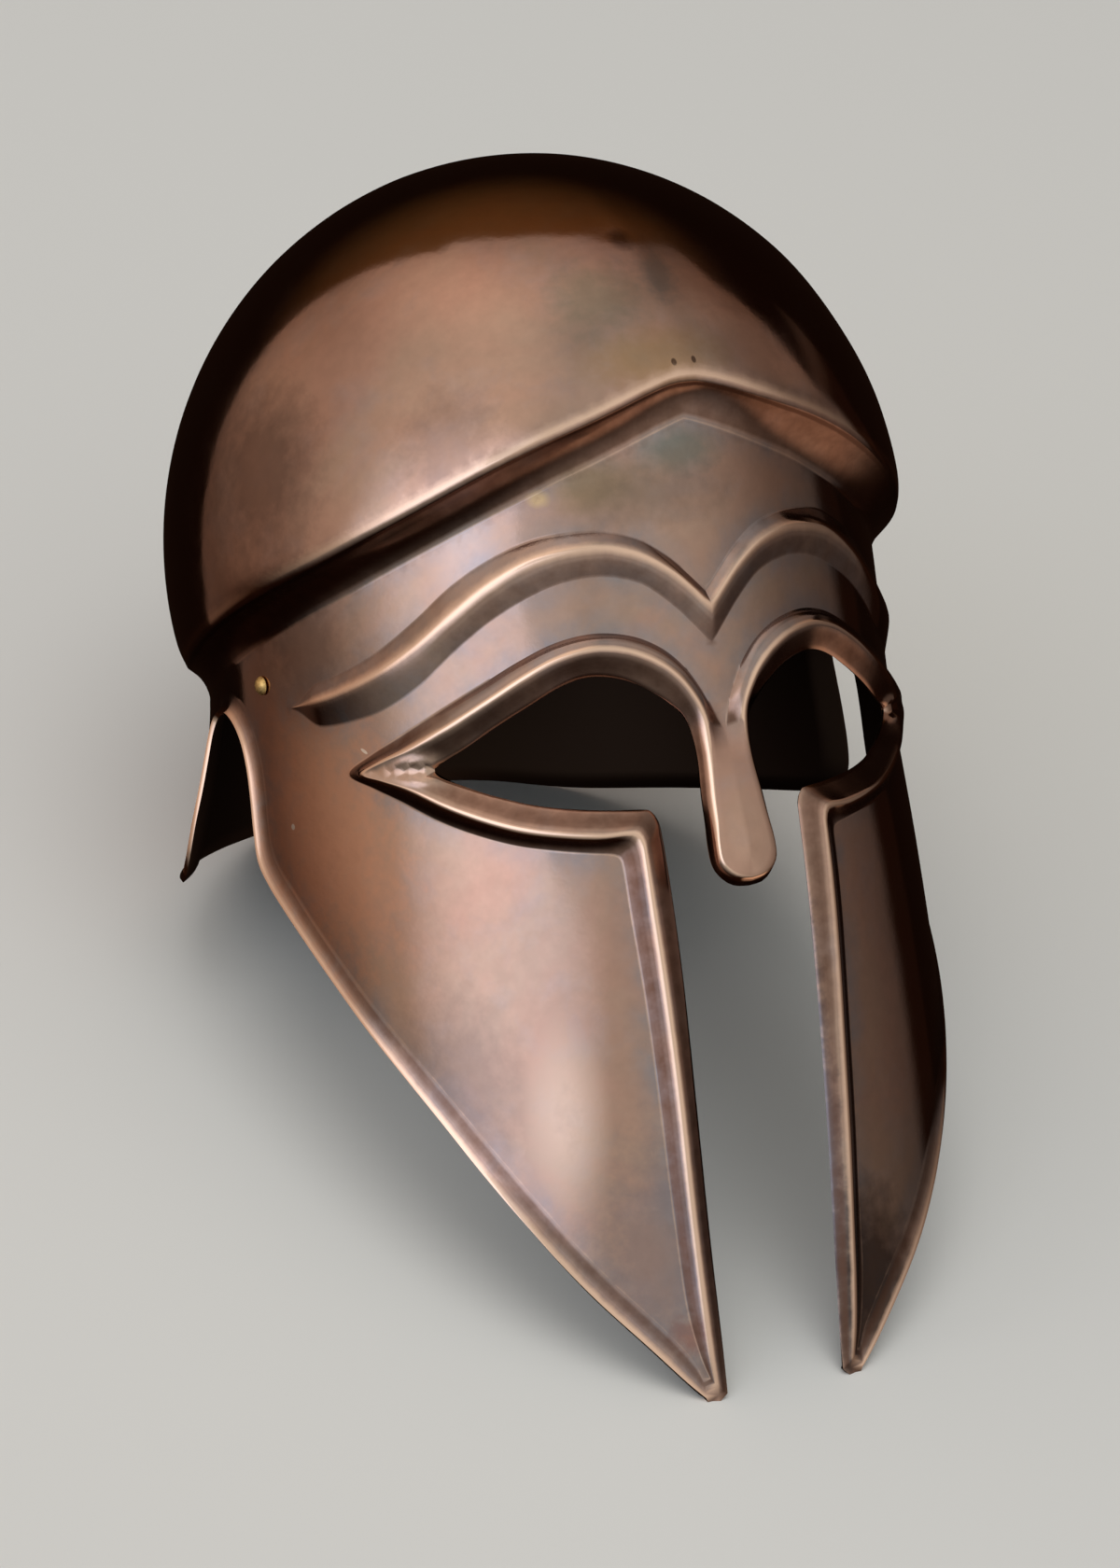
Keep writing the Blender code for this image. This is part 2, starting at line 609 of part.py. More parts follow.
def build():
    for old in list(bpy.data.objects):
        bpy.data.objects.remove(old)
    home = collection("italo_corinthian_helmet")
    tools = collection("cutters")

    stance = bpy.data.objects.new("stance", None)
    home.objects.link(stance)
    bronze = material("patinated bronze", (0.27, 0.16, 0.11, 1.0), 0.36)
    brass = material("brass", (0.72, 0.55, 0.24, 1.0), 0.3)

    shell = mesh_object("helmet_shell", home, bronze, stance)
    points, faces = half_shell()
    work = bmesh.new()
    verts = [work.verts.new(p * MM) for p in points]
    for face in faces:
        if len(set(face)) > 2:
            work.faces.new([verts[i] for i in face])
    loose = [v for v in work.verts if not v.link_faces]
    bmesh.ops.delete(work, geom=loose, context="VERTS")
    work.to_mesh(shell.data)
    work.free()
    for face in shell.data.polygons:
        face.use_smooth = True
    modifier(shell, "MIRROR", use_clip=True, merge_threshold=0.00001)
    modifier(shell, "SOLIDIFY", thickness=SHEET * MM, offset=-1.0, use_rim=True,
             use_even_offset=False)
    settle(shell, stance)
    file_tips(shell, tools, bronze)

    for side, name in ((-1.0, "rivet_right"), (1.0, "rivet_left")):
        frame = rivet_frame(side)
        hole = mesh_object(name + "_hole", tools, bronze, stance)
        reach = RIVET_SHANK_RADIUS + RIVET_GAP
        lathe(hole, ((0.0, 3.0), (reach, 3.0), (reach, -5.0), (0.0, -5.0)), 20, frame)
        hole.hide_render = True
        hole.display_type = "WIRE"
        modifier(shell, "BOOLEAN", operation="DIFFERENCE", solver="EXACT", object=hole)

        rivet = mesh_object(name, home, brass, stance)
        top = RIVET_GAP
        low = -SHEET - RIVET_GAP
        outline = [(0.0, top + RIVET_HEAD_RISE)]
        for k in range(1, 4):
            a = math.pi / 2 * k / 4
            outline.append((RIVET_HEAD_RADIUS * math.sin(a), top + 0.25
                            + (RIVET_HEAD_RISE - 0.25) * math.cos(a)))
        outline += [(RIVET_HEAD_RADIUS, top + 0.25), (RIVET_HEAD_RADIUS - 0.1, top),
                    (RIVET_SHANK_RADIUS, top), (RIVET_SHANK_RADIUS, low),
                    (RIVET_TAIL_RADIUS, low), (RIVET_TAIL_RADIUS - 0.2, low - 0.6),
                    (RIVET_TAIL_RADIUS * 0.6, low - RIVET_TAIL_RISE),
                    (0.0, low - RIVET_TAIL_RISE)]
        lathe(rivet, outline, 20, frame)
    bpy.context.view_layer.update()


build()
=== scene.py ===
"""Italo-corinthian helmet, raised from one sheet of bronze, with a brass rivet on each side.

It leans back and stands by itself on its two cheek tips and on the rim of its neck guard.
"""
import math
import bmesh
import bpy
from mathutils import Matrix, Vector, noise
from mathutils.geometry import delaunay_2d_cdt
from mathutils.kdtree import KDTree


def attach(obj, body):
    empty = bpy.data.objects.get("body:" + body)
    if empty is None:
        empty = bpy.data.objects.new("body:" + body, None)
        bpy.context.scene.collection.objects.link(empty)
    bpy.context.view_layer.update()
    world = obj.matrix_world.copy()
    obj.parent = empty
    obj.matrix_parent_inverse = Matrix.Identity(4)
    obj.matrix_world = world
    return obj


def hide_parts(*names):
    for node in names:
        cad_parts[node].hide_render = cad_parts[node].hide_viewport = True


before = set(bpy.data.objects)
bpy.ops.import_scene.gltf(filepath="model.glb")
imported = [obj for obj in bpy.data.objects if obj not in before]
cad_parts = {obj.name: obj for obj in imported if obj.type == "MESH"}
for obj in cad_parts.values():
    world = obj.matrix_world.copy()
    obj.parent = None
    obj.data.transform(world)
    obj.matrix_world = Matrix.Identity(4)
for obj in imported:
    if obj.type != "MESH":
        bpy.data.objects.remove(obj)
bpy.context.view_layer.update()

# ---- helmet shell -----------------------------------------------------------------------
# One sheet of bronze, 1.4 mm thick, hammered up into a dome, a face and long cheeks. Borders,
# brow and ledge are chased into it, and the outside is polished. Its flat pattern has "around"
# from the middle of the face and "height" above the root of the nose guard, in millimetres.
MM = 0.001
SHEET = 1.4
# how far it leans back as it stands, and the spacing of spots on the plain sheet
LEAN = math.radians(34.97)
GRID = 2.7
# level section of the head: half width, and its depth before and behind the middle
HALF_WIDTH = 100.0
MIDDLE = 112.0
BEHIND_MIDDLE = 109.0


def ease(t):
    """Soft step from 0 to 1."""
    t = min(1.0, max(0.0, t))
    return t * t * (3.0 - 2.0 * t)


def mix(a, b, t):
    """Value that share of the way from one to the other."""
    return a + (b - a) * t


def column(rows, x, index):
    """Read one column of a table whose first column runs upward, on a smooth curve."""
    last = len(rows) - 1
    if x <= rows[0][0]:
        return rows[0][index]
    if x >= rows[last][0]:
        return rows[last][index]
    k = 0
    while rows[k + 1][0] < x:
        k += 1
    (x0, y0), (x1, y1) = ((rows[i][0], rows[i][index]) for i in (k, k + 1))
    before = after = (y1 - y0) / (x1 - x0)
    if k > 0:
        before = (y1 - rows[k - 1][index]) / (x1 - rows[k - 1][0])
    if k + 2 <= last:
        after = (rows[k + 2][index] - y0) / (rows[k + 2][0] - x0)
    t, width = (x - x0) / (x1 - x0), x1 - x0
    a = (2 * t ** 3 - 3 * t ** 2 + 1) * y0 + (t ** 3 - 2 * t ** 2 + t) * width * before
    return a + (3 * t ** 2 - 2 * t ** 3) * y1 + (t ** 3 - t ** 2) * width * after


def smooth_rows(rows, step):
    """Run a smooth curve through the rows of a table and read it off every step or so."""
    out = []
    for k in range(len(rows) - 1):
        p0, p1, p2, p3 = rows[max(k - 1, 0)], rows[k], rows[k + 1], rows[min(k + 2, len(rows) - 1)]
        reach = max(math.hypot(p2[i] - p1[i], p2[i + 1] - p1[i + 1])
                    for i in range(0, len(p1) - 1, 3))
        pieces = max(1, round(reach / step))
        for j in range(pieces):
            t = j / pieces
            out.append([b + 0.5 * t * (c - a + t * (2 * a - 5 * b + 4 * c - d
                                                    + t * (3 * (b - c) + d - a)))
                        for a, b, c, d in zip(p0, p1, p2, p3)])
    out.append(list(rows[-1]))
    return out


def oval(angle, half_width, half_length):
    """Distance from the middle of an oval to its line, at an angle from the front."""
    return 1.0 / math.hypot(math.sin(angle) / half_width, math.cos(angle) / half_length)


def level_lengths():
    """Distance along the sheet's level section against the angle round the head."""
    table, spot = [(0.0, 0.0)], Vector((0.0, -MIDDLE))
    for k in range(1, 721):
        angle = math.pi * k / 720
        r = oval(angle, HALF_WIDTH, MIDDLE)
        new = Vector((r * math.sin(angle), -r * math.cos(angle)))
        table.append((table[-1][0] + (new - spot).length, angle))
        spot = new
    return table


LENGTHS = level_lengths()
BACK = LENGTHS[-1][0]


def angle_at(around):
    """Angle round the head of a place that far around the sheet."""
    low, high = 0, len(LENGTHS) - 1
    if around >= BACK:
        return math.pi
    while high - low > 1:
        mid = (low + high) // 2
        low, high = (mid, high) if LENGTHS[mid][0] <= around else (low, mid)
    a, b = LENGTHS[low], LENGTHS[high]
    return a[1] + (b[1] - a[1]) * (around - a[0]) / (b[0] - a[0])


# face and cheeks: height, half width, front, fullness between front and side
SECTIONS = (
    (-190.0, 98.6, -1.0, -0.040), (-150.0, 99.0, -2.6, -0.036), (-100.0, 99.2, -4.6, -0.026),
    (-45.0, 98.3, -4.6, -0.006), (0.0, 97.5, -1.0, 0.014), (40.0, 97.5, 1.2, 0.022),
    (65.0, 98.5, 2.8, 0.042), (90.0, 100.0, 4.2, 0.058),
)
# neck guard: how far it flares, where round the head it starts and is full, and how high
FLARE, FLARE_START, FLARE_RUN, FLARE_TOP, FLARE_DROP = 11.0, 158.0, 26.0, 16.0, 51.0


def sheet_point(around, height):
    """The plain sheet below the ledge, before any relief, with the neck guard flared out."""
    angle = angle_at(around)
    half_width, front, full = (column(SECTIONS, height, k) for k in (1, 2, 3))
    if angle < math.pi / 2:
        bulge = 1.0 - full * math.sin(2 * angle) ** 2
        r = oval(angle, half_width, MIDDLE - front) * bulge
    else:
        r = oval(angle, half_width, BEHIND_MIDDLE)
    low = max(0.0, (FLARE_TOP - height) / FLARE_DROP) ** 1.3
    r += FLARE * ease((around - FLARE_START) / FLARE_RUN) * low
    return Vector((r * math.sin(angle), MIDDLE - r * math.cos(angle), height))


def sheet_normal(around, height):
    """Outward direction square to the plain sheet."""
    near = min(max(around, 0.5), BACK - 0.5)
    across = sheet_point(near + 0.5, height) - sheet_point(near - 0.5, height)
    n = across.cross(sheet_point(near, height + 0.5) - sheet_point(near, height - 0.5))
    if around <= 0.0 or around >= BACK:
        n.x = 0.0
    return n.normalized()


def inside(polygon, x, y):
    """Whether a flat place lies inside a closed outline."""
    hit = False
    for (x0, y0), (x1, y1) in zip(polygon, polygon[1:] + polygon[:1]):
        if (y0 > y) != (y1 > y) and x < x0 + (x1 - x0) * (y - y0) / (y1 - y0):
            hit = not hit
    return hit


def finder(places):
    """Tree that finds the nearest of some flat places."""
    tree = KDTree(len(places))
    for k, place in enumerate(places):
        tree.insert((place[0], place[1], 0.0), k)
    tree.balance()
    return tree


class Pattern:
    """Spots of the flat pattern, each with its rise and wear, and the chased lines. Wear runs
    from -1, where the patina stays, to 1, where it is polished off. Along the creases and the
    ledge's foot it also holds painted light lines, and below the ledge a painted dark line."""

    def __init__(self):
        self.spots, self.rises, self.lines, self.wear_and_crease_light = [], [], [], []

    def line(self, places):
        """One chased line, through places that each have around, height, rise and wear."""
        first = len(self.spots)
        for around, height, rise, wear_and_crease_light in places:
            self.spots.append(Vector((min(BACK, max(0.0, around)), height)))
            self.rises.append(rise)
            self.wear_and_crease_light.append(wear_and_crease_light)
        self.lines += [(k, k + 1) for k in range(first, len(self.spots) - 1)]

    def band(self, rows):
        """Lines along a chased band, from rows that run across it."""
        for k in range(len(rows[0])):
            self.line([row[k] for row in rows])

    def fill(self, step, lowest, highest, zones):
        """Even spots over the plain sheet between the lines, none of them in a zone."""
        near = finder(self.spots)
        rise = step * 0.866  # rows of even triangles
        for row in range(int((highest - lowest) / rise)):
            y = lowest + row * rise
            x = step * (0.5 if row % 2 else 1.0)
            while x < BACK - 0.4 * step:
                if near.find((x, y, 0.0))[2] > step * 0.64 and not any(
                        inside(zone, x, y) for zone in zones):
                    self.line([(x, y, 0.0, 0.0)])
                x += step


# border of nose guard, eye and front edge: edge, crest and crease, each around, height, rise
BORDER = (
    (0.0, -43.8, 2.6, 0.0, -41.8, 6.4, 0.0, -37.0, 6.3),
    (4.0, -43.2, 2.6, 3.1, -41.2, 6.5, 0.0, -35.5, 6.3),
    (7.0, -41.0, 2.4, 5.6, -39.6, 6.4, 0.0, -33.5, 6.2),
    (9.0, -37.4, 2.0, 7.5, -36.6, 6.2, 0.0, -31.0, 5.9),
    (9.4, -32.0, 1.4, 7.8, -31.8, 5.8, 0.0, -27.5, 5.5),
    (9.1, -25.5, 0.8, 7.3, -25.8, 5.1, 0.0, -22.5, 4.8),
    (8.9, -18.0, 0.0, 6.9, -18.5, 4.2, 0.0, -16.5, 4.0),
    (8.3, -9.0, -0.8, 6.2, -9.5, 3.3, 0.0, -9.0, 3.1),
    (8.8, -2.0, -1.2, 6.0, -1.5, 3.2, 0.0, -2.6, 1.7),
    (10.2, 3.0, -1.2, 6.4, 4.5, 3.5, 1.9, 3.4, 0.2),
    (13.5, 7.0, -1.0, 8.7, 10.0, 3.8, 4.7, 10.0, 0.0),
    (17.8, 10.6, -0.8, 12.2, 15.0, 4.0, 9.0, 17.0, 0.0),
    (23.5, 14.2, -0.8, 17.5, 19.4, 4.0, 15.0, 22.8, 0.0),
    (30.0, 16.4, -0.8, 24.5, 22.8, 4.0, 23.0, 26.8, 0.0),
    (36.5, 16.8, -0.8, 33.0, 24.2, 4.0, 33.0, 28.4, 0.0),
    (43.5, 15.0, -0.8, 42.5, 22.5, 4.0, 43.5, 26.9, 0.0),
    (52.0, 11.0, -0.8, 52.0, 18.4, 4.0, 54.0, 22.9, 0.0),
    (62.5, 5.8, -0.8, 63.0, 12.6, 4.0, 66.0, 17.2, 0.0),
    (72.0, 0.8, -0.8, 75.5, 6.4, 3.9, 79.5, 10.9, 0.0),
    (78.6, -2.2, -0.8, 88.0, 1.2, 3.7, 93.0, 4.7, 0.0),
    (81.2, -3.6, -0.8, 97.0, -1.6, 3.4, 103.0, 0.4, 0.0),
    (82.2, -4.7, -0.8, 104.0, -4.6, 3.0, 111.5, -4.4, 0.0),
    (80.8, -6.0, -0.8, 97.0, -6.8, 3.4, 102.5, -8.6, 0.0),
    (77.6, -7.8, -0.8, 88.0, -9.6, 3.6, 93.0, -12.8, 0.0),
    (71.0, -10.6, -0.8, 78.0, -14.4, 3.8, 82.0, -18.4, 0.0),
    (63.0, -13.4, -0.8, 68.0, -18.6, 3.8, 71.5, -22.8, 0.0),
    (53.5, -16.2, -0.8, 57.5, -22.2, 3.9, 60.0, -26.6, 0.0),
    (43.0, -18.2, -0.8, 46.5, -24.6, 4.0, 49.0, -28.9, 0.0),
    (33.0, -19.4, -0.8, 37.0, -25.9, 4.0, 40.0, -30.4, 0.0),
    (25.2, -20.0, -0.8, 30.2, -25.8, 4.0, 34.4, -31.4, 0.0),
    (23.0, -20.8, -0.8, 27.6, -26.4, 3.9, 32.8, -32.6, 0.0),
    (21.4, -23.6, -0.8, 26.4, -29.2, 3.8, 32.4, -34.8, 0.0),
    (20.9, -29.0, -0.8, 26.2, -34.2, 3.7, 32.2, -40.0, 0.0),
    (20.5, -45.0, -0.8, 25.9, -47.2, 3.6, 31.8, -51.0, 0.0),
    (20.0, -70.0, -0.8, 25.0, -70.8, 3.5, 30.6, -72.0, 0.0),
    (19.4, -100.0, -0.8, 23.7, -100.5, 3.4, 29.2, -101.0, 0.0),
    (18.8, -130.0, -0.7, 22.9, -130.0, 3.2, 28.0, -130.0, 0.0),
    (18.2, -155.0, -0.5, 22.0, -155.0, 2.8, 26.8, -155.0, 0.2),
    (17.8, -172.0, -0.3, 21.2, -170.5, 2.2, 24.6, -169.0, 0.6),
    (17.8, -181.5, 0.0, 20.6, -179.0, 1.2, 22.4, -176.5, 0.9),
)
# wear across the border, by share of the way: edge to crest, round the crest, on to crease, where
# the last value is a painted light line
EDGE_WEAR = ((0.0, 0.1), (0.2, -0.5), (0.4, -0.65), (0.6, -0.7), (0.8, -0.6), (1.0, 0.0))
CREST_WEAR = ((-0.5, 0.5), (0.0, 1.0), (0.5, 1.0))
CREASE_WEAR_AND_LIGHT = ((0.0, 0.8), (0.2, -0.4), (0.45, -0.8), (0.7, -0.8), (0.9, -0.7), (1.0, 0.4))
CREST_RADIUS = 1.2
# from this width on, at the eye's outer corner, the border is worn bare and humped to its edge
CORNER_WIDTH, CORNER_RUN = 8.0, 6.0
# share by which the slope down to the crease is hollow below the eye, and full above it
HOLLOW_BELOW, FULL_ABOVE = -0.12, 0.15


def border_section(row):
    """Fifteen places from the edge over the rounded crest to the crease, with their rise. They
    are first measured across the border, as s millimetres from the crest."""
    edge, crest, crease = row[0:3], row[3:6], row[6:9]
    inner = max(0.5, math.hypot(crest[0] - edge[0], crest[1] - edge[1]))
    outer = max(0.5, math.hypot(crease[0] - crest[0], crease[1] - crest[1]))
    r = min(CREST_RADIUS, 0.45 * inner, 0.45 * outer)
    slope_in = (crest[2] - edge[2]) / inner
    slope_out = (crest[2] - crease[2]) / outer
    section = []
    corner = ease((inner - CORNER_WIDTH) / CORNER_RUN)
    for k, worn in EDGE_WEAR:
        s = mix(-inner, -r, k)
        hump = (crest[2] - edge[2]) * (1.0 - k) * (1.0 - (1.0 - k) ** 2) * corner
        section.append((s, crest[2] + slope_in * s + hump, mix(worn, 0.3, corner)))
    for k, worn in CREST_WEAR:
        s = k * r
        turn = (slope_in + slope_out) / 4
        rise = crest[2] - r * turn + (slope_in - slope_out) / 2 * s - turn / r * s * s
        section.append((s, rise, worn))
    # the nose guard stays domed and clean, with no painted light line at its crease, and over the
    # eye the far slope swells and is cleaner, with a fainter painted light line
    nose = crease[2] > 1.0
    over_eye = ease((crest[1] - 1.0) / 9.0) if crease[1] > edge[1] else 0.0
    patina_and_light_share = 0.0 if nose else mix(1.0, 0.1, over_eye)
    swell = mix(HOLLOW_BELOW, FULL_ABOVE, over_eye)
    for k, worn in CREASE_WEAR_AND_LIGHT:
        s = mix(r, outer, k)
        rise = crest[2] - slope_out * s + swell * slope_out * outer * math.sin(math.pi * k)
        if nose:
            rise = mix(crest[2] - slope_out * r, crease[2], 1.0 - (1.0 - k) ** 2)
        section.append((s, rise, worn * patina_and_light_share))
    places = []
    for s, rise, wear_and_crease_light in section:
        end, t = (edge, -s / inner) if s < 0 else (crease, s / outer)
        places.append((mix(crest[0], end[0], t), mix(crest[1], end[1], t), rise, wear_and_crease_light))
    return places


# turned-out edge of cheek, notch and neck guard: edge around and height, lip, foot
REAR = (
    (24.0, -181.8, 0.8, 24.2, -176.6), (29.0, -176.4, 1.0, 26.8, -170.6),
    (38.0, -165.6, 1.3, 34.2, -160.6), (49.6, -152.0, 1.5, 45.4, -147.4),
    (58.6, -140.4, 1.5, 54.2, -136.0), (66.6, -129.4, 1.4, 62.0, -125.2),
    (77.2, -115.0, 1.2, 72.6, -110.8), (87.4, -101.6, 1.0, 82.8, -97.6),
    (98.2, -88.6, 1.0, 93.8, -84.4), (109.4, -76.0, 1.1, 105.2, -71.6),
    (121.6, -63.0, 1.3, 117.6, -58.4), (133.0, -51.6, 1.6, 129.2, -46.8),
    (142.6, -42.6, 1.9, 138.6, -37.6), (150.6, -35.2, 2.1, 146.4, -30.4),
    (155.4, -28.8, 2.4, 149.8, -24.8), (156.6, -20.0, 2.4, 150.8, -18.4),
    (156.8, -10.0, 2.4, 151.0, -9.0), (157.6, -2.0, 2.4, 152.0, 0.0),
    (160.0, 5.4, 2.4, 155.0, 8.6), (164.8, 11.0, 2.4, 161.0, 15.8),
    (171.0, 13.6, 2.6, 169.8, 19.2), (176.6, 12.6, 3.2, 180.8, 17.0),
    (179.4, 7.6, 4.0, 185.2, 9.4), (181.0, 0.0, 4.4, 187.2, 1.0),
    (182.8, -10.0, 4.6, 189.2, -8.8), (185.2, -21.0, 4.6, 191.6, -19.0),
    (188.6, -30.6, 4.0, 194.4, -26.8), (195.0, -35.2, 3.2, 198.6, -30.2),
    (207.0, -35.6, 2.8, 208.4, -30.2), (226.0, -34.4, 2.6, 226.6, -29.0),
    (250.0, -32.6, 2.4, 250.2, -27.2), (276.0, -30.6, 2.4, 276.2, -25.2),
    (290.0, -28.4, 2.4, 290.1, -23.0), (304.0, -25.4, 2.4, 304.0, -20.0),
    (318.0, -23.4, 2.4, 318.0, -18.0), (334.0, -22.6, 2.4, 334.0, -17.2),
)
# wear across it, by share of the way from its lip to its foot, where the last value is a painted
# light line
REAR_WEAR_AND_LIGHT = ((0.0, 1.0), (0.12, 0.9), (0.26, 0.3), (0.42, -0.3), (0.6, -0.6), (0.8, -0.6),
             (1.0, 0.2))


def rear_section(row):
    """Seven places from the lip of the turned-out edge down to its foot."""
    return [(mix(row[0], row[3], t), mix(row[1], row[4], t), row[2] * (1.0 - t) ** 1.8, worn)
            for t, worn in REAR_WEAR_AND_LIGHT]


# half-round brow: around, upper crease, crest, lower crease
BROW = (
    (0.0, 36.5, 32.5, 22.5), (5.0, 42.0, 38.0, 28.5), (10.0, 47.0, 42.8, 34.0),
    (18.0, 52.5, 48.0, 40.5), (28.0, 55.4, 51.0, 43.5), (38.0, 55.8, 50.8, 43.3),
    (48.0, 54.7, 48.9, 40.5), (60.0, 50.7, 43.3, 35.0), (72.0, 44.4, 35.8, 27.4),
    (84.0, 36.0, 28.4, 18.6), (97.0, 28.5, 22.4, 12.6), (112.0, 23.0, 17.8, 9.6),
    (124.0, 20.4, 15.6, 9.0), (134.0, 18.6, 14.4, 9.2),
)
BROW_HEIGHT = 2.7
BROW_END = 134.0
BROW_STEPS = int(BROW_END / 1.8)
# where it starts to sink, over what length and by what share, and the length of its point
BROW_SINKS, BROW_SINK_RUN, BROW_SINK = 92.0, 40.0, 0.62
BROW_POINT = 14.0
# wear over the brow, by degrees from its upper crease
BROW_WEAR = (
    (0, -0.3), (22, -0.2), (38, -0.1), (52, 0.0), (64, 0.2), (74, 0.5), (83, 0.9), (90, 1.0),
    (97, 0.7), (106, 0.1), (117, -0.4), (130, -0.5), (144, -0.5), (159, -0.5), (180, -0.5),
)


def brow_section(x):
    """Fifteen places over the half-round brow, which sinks and narrows to a point."""
    up, crest, low = (column(BROW, x, k) for k in (1, 2, 3))
    rise = BROW_HEIGHT * (1.0 - BROW_SINK * ease((x - BROW_SINKS) / BROW_SINK_RUN))
    end = ease((BROW_END - x) / BROW_POINT)
    places = []
    for turn, worn in BROW_WEAR:
        u = math.cos(math.radians(turn))
        y = crest + (up - crest) * u if u > 0 else crest - (crest - low) * -u
        part = (1.02 - math.sqrt(u * u + 0.04)) / 0.82  # a ridge with a rounded top
        if u < 0.0:
            worn *= 1.0 - 0.8 * ease((x - 58.0) / 30.0)
        places.append((x, mix(crest, y, end), rise * part * end, worn))
    return places


# ledge under the dome: around, inner height, outer height
LEDGE = (
    (0.0, 83.5, 94.8), (4.0, 82.3, 94.5), (12.0, 79.5, 92.2), (20.0, 76.5, 89.3),
    (28.0, 73.5, 86.4), (38.0, 70.0, 83.0), (50.0, 65.5, 78.5), (62.0, 61.0, 73.6),
    (75.0, 56.0, 68.2), (90.0, 50.5, 62.3), (107.0, 44.5, 56.2), (122.0, 39.8, 51.5),
    (139.0, 34.5, 46.4), (155.0, 29.6, 41.5), (172.0, 24.6, 36.2), (190.0, 20.0, 31.2),
    (215.0, 16.0, 26.8), (250.0, 12.5, 23.0), (290.0, 10.5, 21.0), (334.0, 10.0, 20.5),
)
# rivet hole, around and height, and the rings of spots round it
RIVET = (147.0, 21.0)
HOLE_RINGS = (1.62, 2.6, 4.0)
RING_SPOTS = 20
# blunt end of the cheek, and the top of the plain sheet
CHEEK_TIP = -184.0
SHEET_TOP = 91.0
# plain stretches of the front seam, below the brow and above it
FRONT_SEAM = ((3.5, 21.0), (38.0, 81.5))
# steps along the border and the turned-out edge, and how near the lines beside them run
BORDER_STEP, REAR_STEP = 1.5, 2.4
BESIDE, BELOW_LEDGE = 0.6, 0.7


def lay_pattern():
    """Mark the whole flat pattern: chased bands, ledge, seams, rivet hole and plain sheet."""
    pattern = Pattern()
    border = [border_section(row) for row in smooth_rows(BORDER, BORDER_STEP)]
    rear = [rear_section(row) for row in smooth_rows(REAR, REAR_STEP)]
    brow = [brow_section(BROW_END * k / BROW_STEPS) for k in range(BROW_STEPS + 1)]
    pattern.band(border)
    pattern.line(border[-1])
    pattern.band(rear)
    pattern.line([border[-1][0], (20.6, CHEEK_TIP, 0.0, 0.0), (23.2, CHEEK_TIP, 0.0, 0.0),
                  rear[0][0]])
    pattern.band(brow)
    # a second line just outside each band, so that the plain sheet runs up to it evenly
    for rows, k, near in ((border, -1, -2), (rear, -1, -2), (brow, 0, 1), (brow, -1, -2)):
        beside = []
        for row in rows:
            away = Vector((row[k][0] - row[near][0], row[k][1] - row[near][1]))
            spot = Vector(row[k][:2]) + away.normalized() * BESIDE
            if row[k][0] > 1.0 and spot.x < BACK - 0.5:
                beside.append((spot.x, spot.y, max(0.0, row[k][2] - 0.1), 0.0))
        pattern.line(beside)

    count = round(BACK / GRID)
    # the ledge's foot carries a painted light line, and the line just below it a painted dark line
    ledge = [(BACK * k / count, column(LEDGE, BACK * k / count, 1), 0.0, 0.4)
             for k in range(count + 1)]
    pattern.line(ledge)
    pattern.line([(x, y - BELOW_LEDGE, 0.0, -0.2) for x, y, _, _ in ledge])
    pattern.line(rear[-1])

    # seams down the back of the neck and down the middle of the face, then the rivet hole
    low, high = rear[-1][-1][1], ledge[-1][1] - BELOW_LEDGE
    pattern.line([(BACK, mix(low, high, k / 9), 0.0, 0.0) for k in range(1, 9)])
    for low, high in FRONT_SEAM:
        count = round((high - low) / GRID)
        pattern.line([(0.0, mix(low, high, k / count), 0.0, 0.0) for k in range(count + 1)])
    for seam in (0.0, BACK):
        order = sorted((p.y, k) for k, p in enumerate(pattern.spots) if abs(p.x - seam) < 0.001)
        pattern.lines += [(a[1], b[1]) for a, b in zip(order, order[1:])]

    for radius in HOLE_RINGS:
        ring = [(RIVET[0] + radius * math.cos(math.tau * k / RING_SPOTS),
                 RIVET[1] + radius * math.sin(math.tau * k / RING_SPOTS), 0.0, 0.0)
                for k in range(RING_SPOTS)]
        pattern.line(ring)
        pattern.lines.append((len(pattern.spots) - 1, len(pattern.spots) - RING_SPOTS))
    pattern.fill(GRID, CHEEK_TIP, SHEET_TOP,
                 ([row[:2] for row in BORDER] + [row[6:8] for row in reversed(BORDER)],
                  [row[0:2] for row in BROW] + [row[0::3] for row in reversed(BROW)],
                  [place[:2] for place in ring]))
    creases = [row[-1] for row in border + rear if row[-1][2] < 1.0] + ledge
    creases += [row[k] for row in brow for k in (0, -1)]
    return pattern, ledge, creases


# grey tarnish and painted shade by the creases: how far it reaches from a crease
TARNISH_AND_SHADE_REACH = 8.0


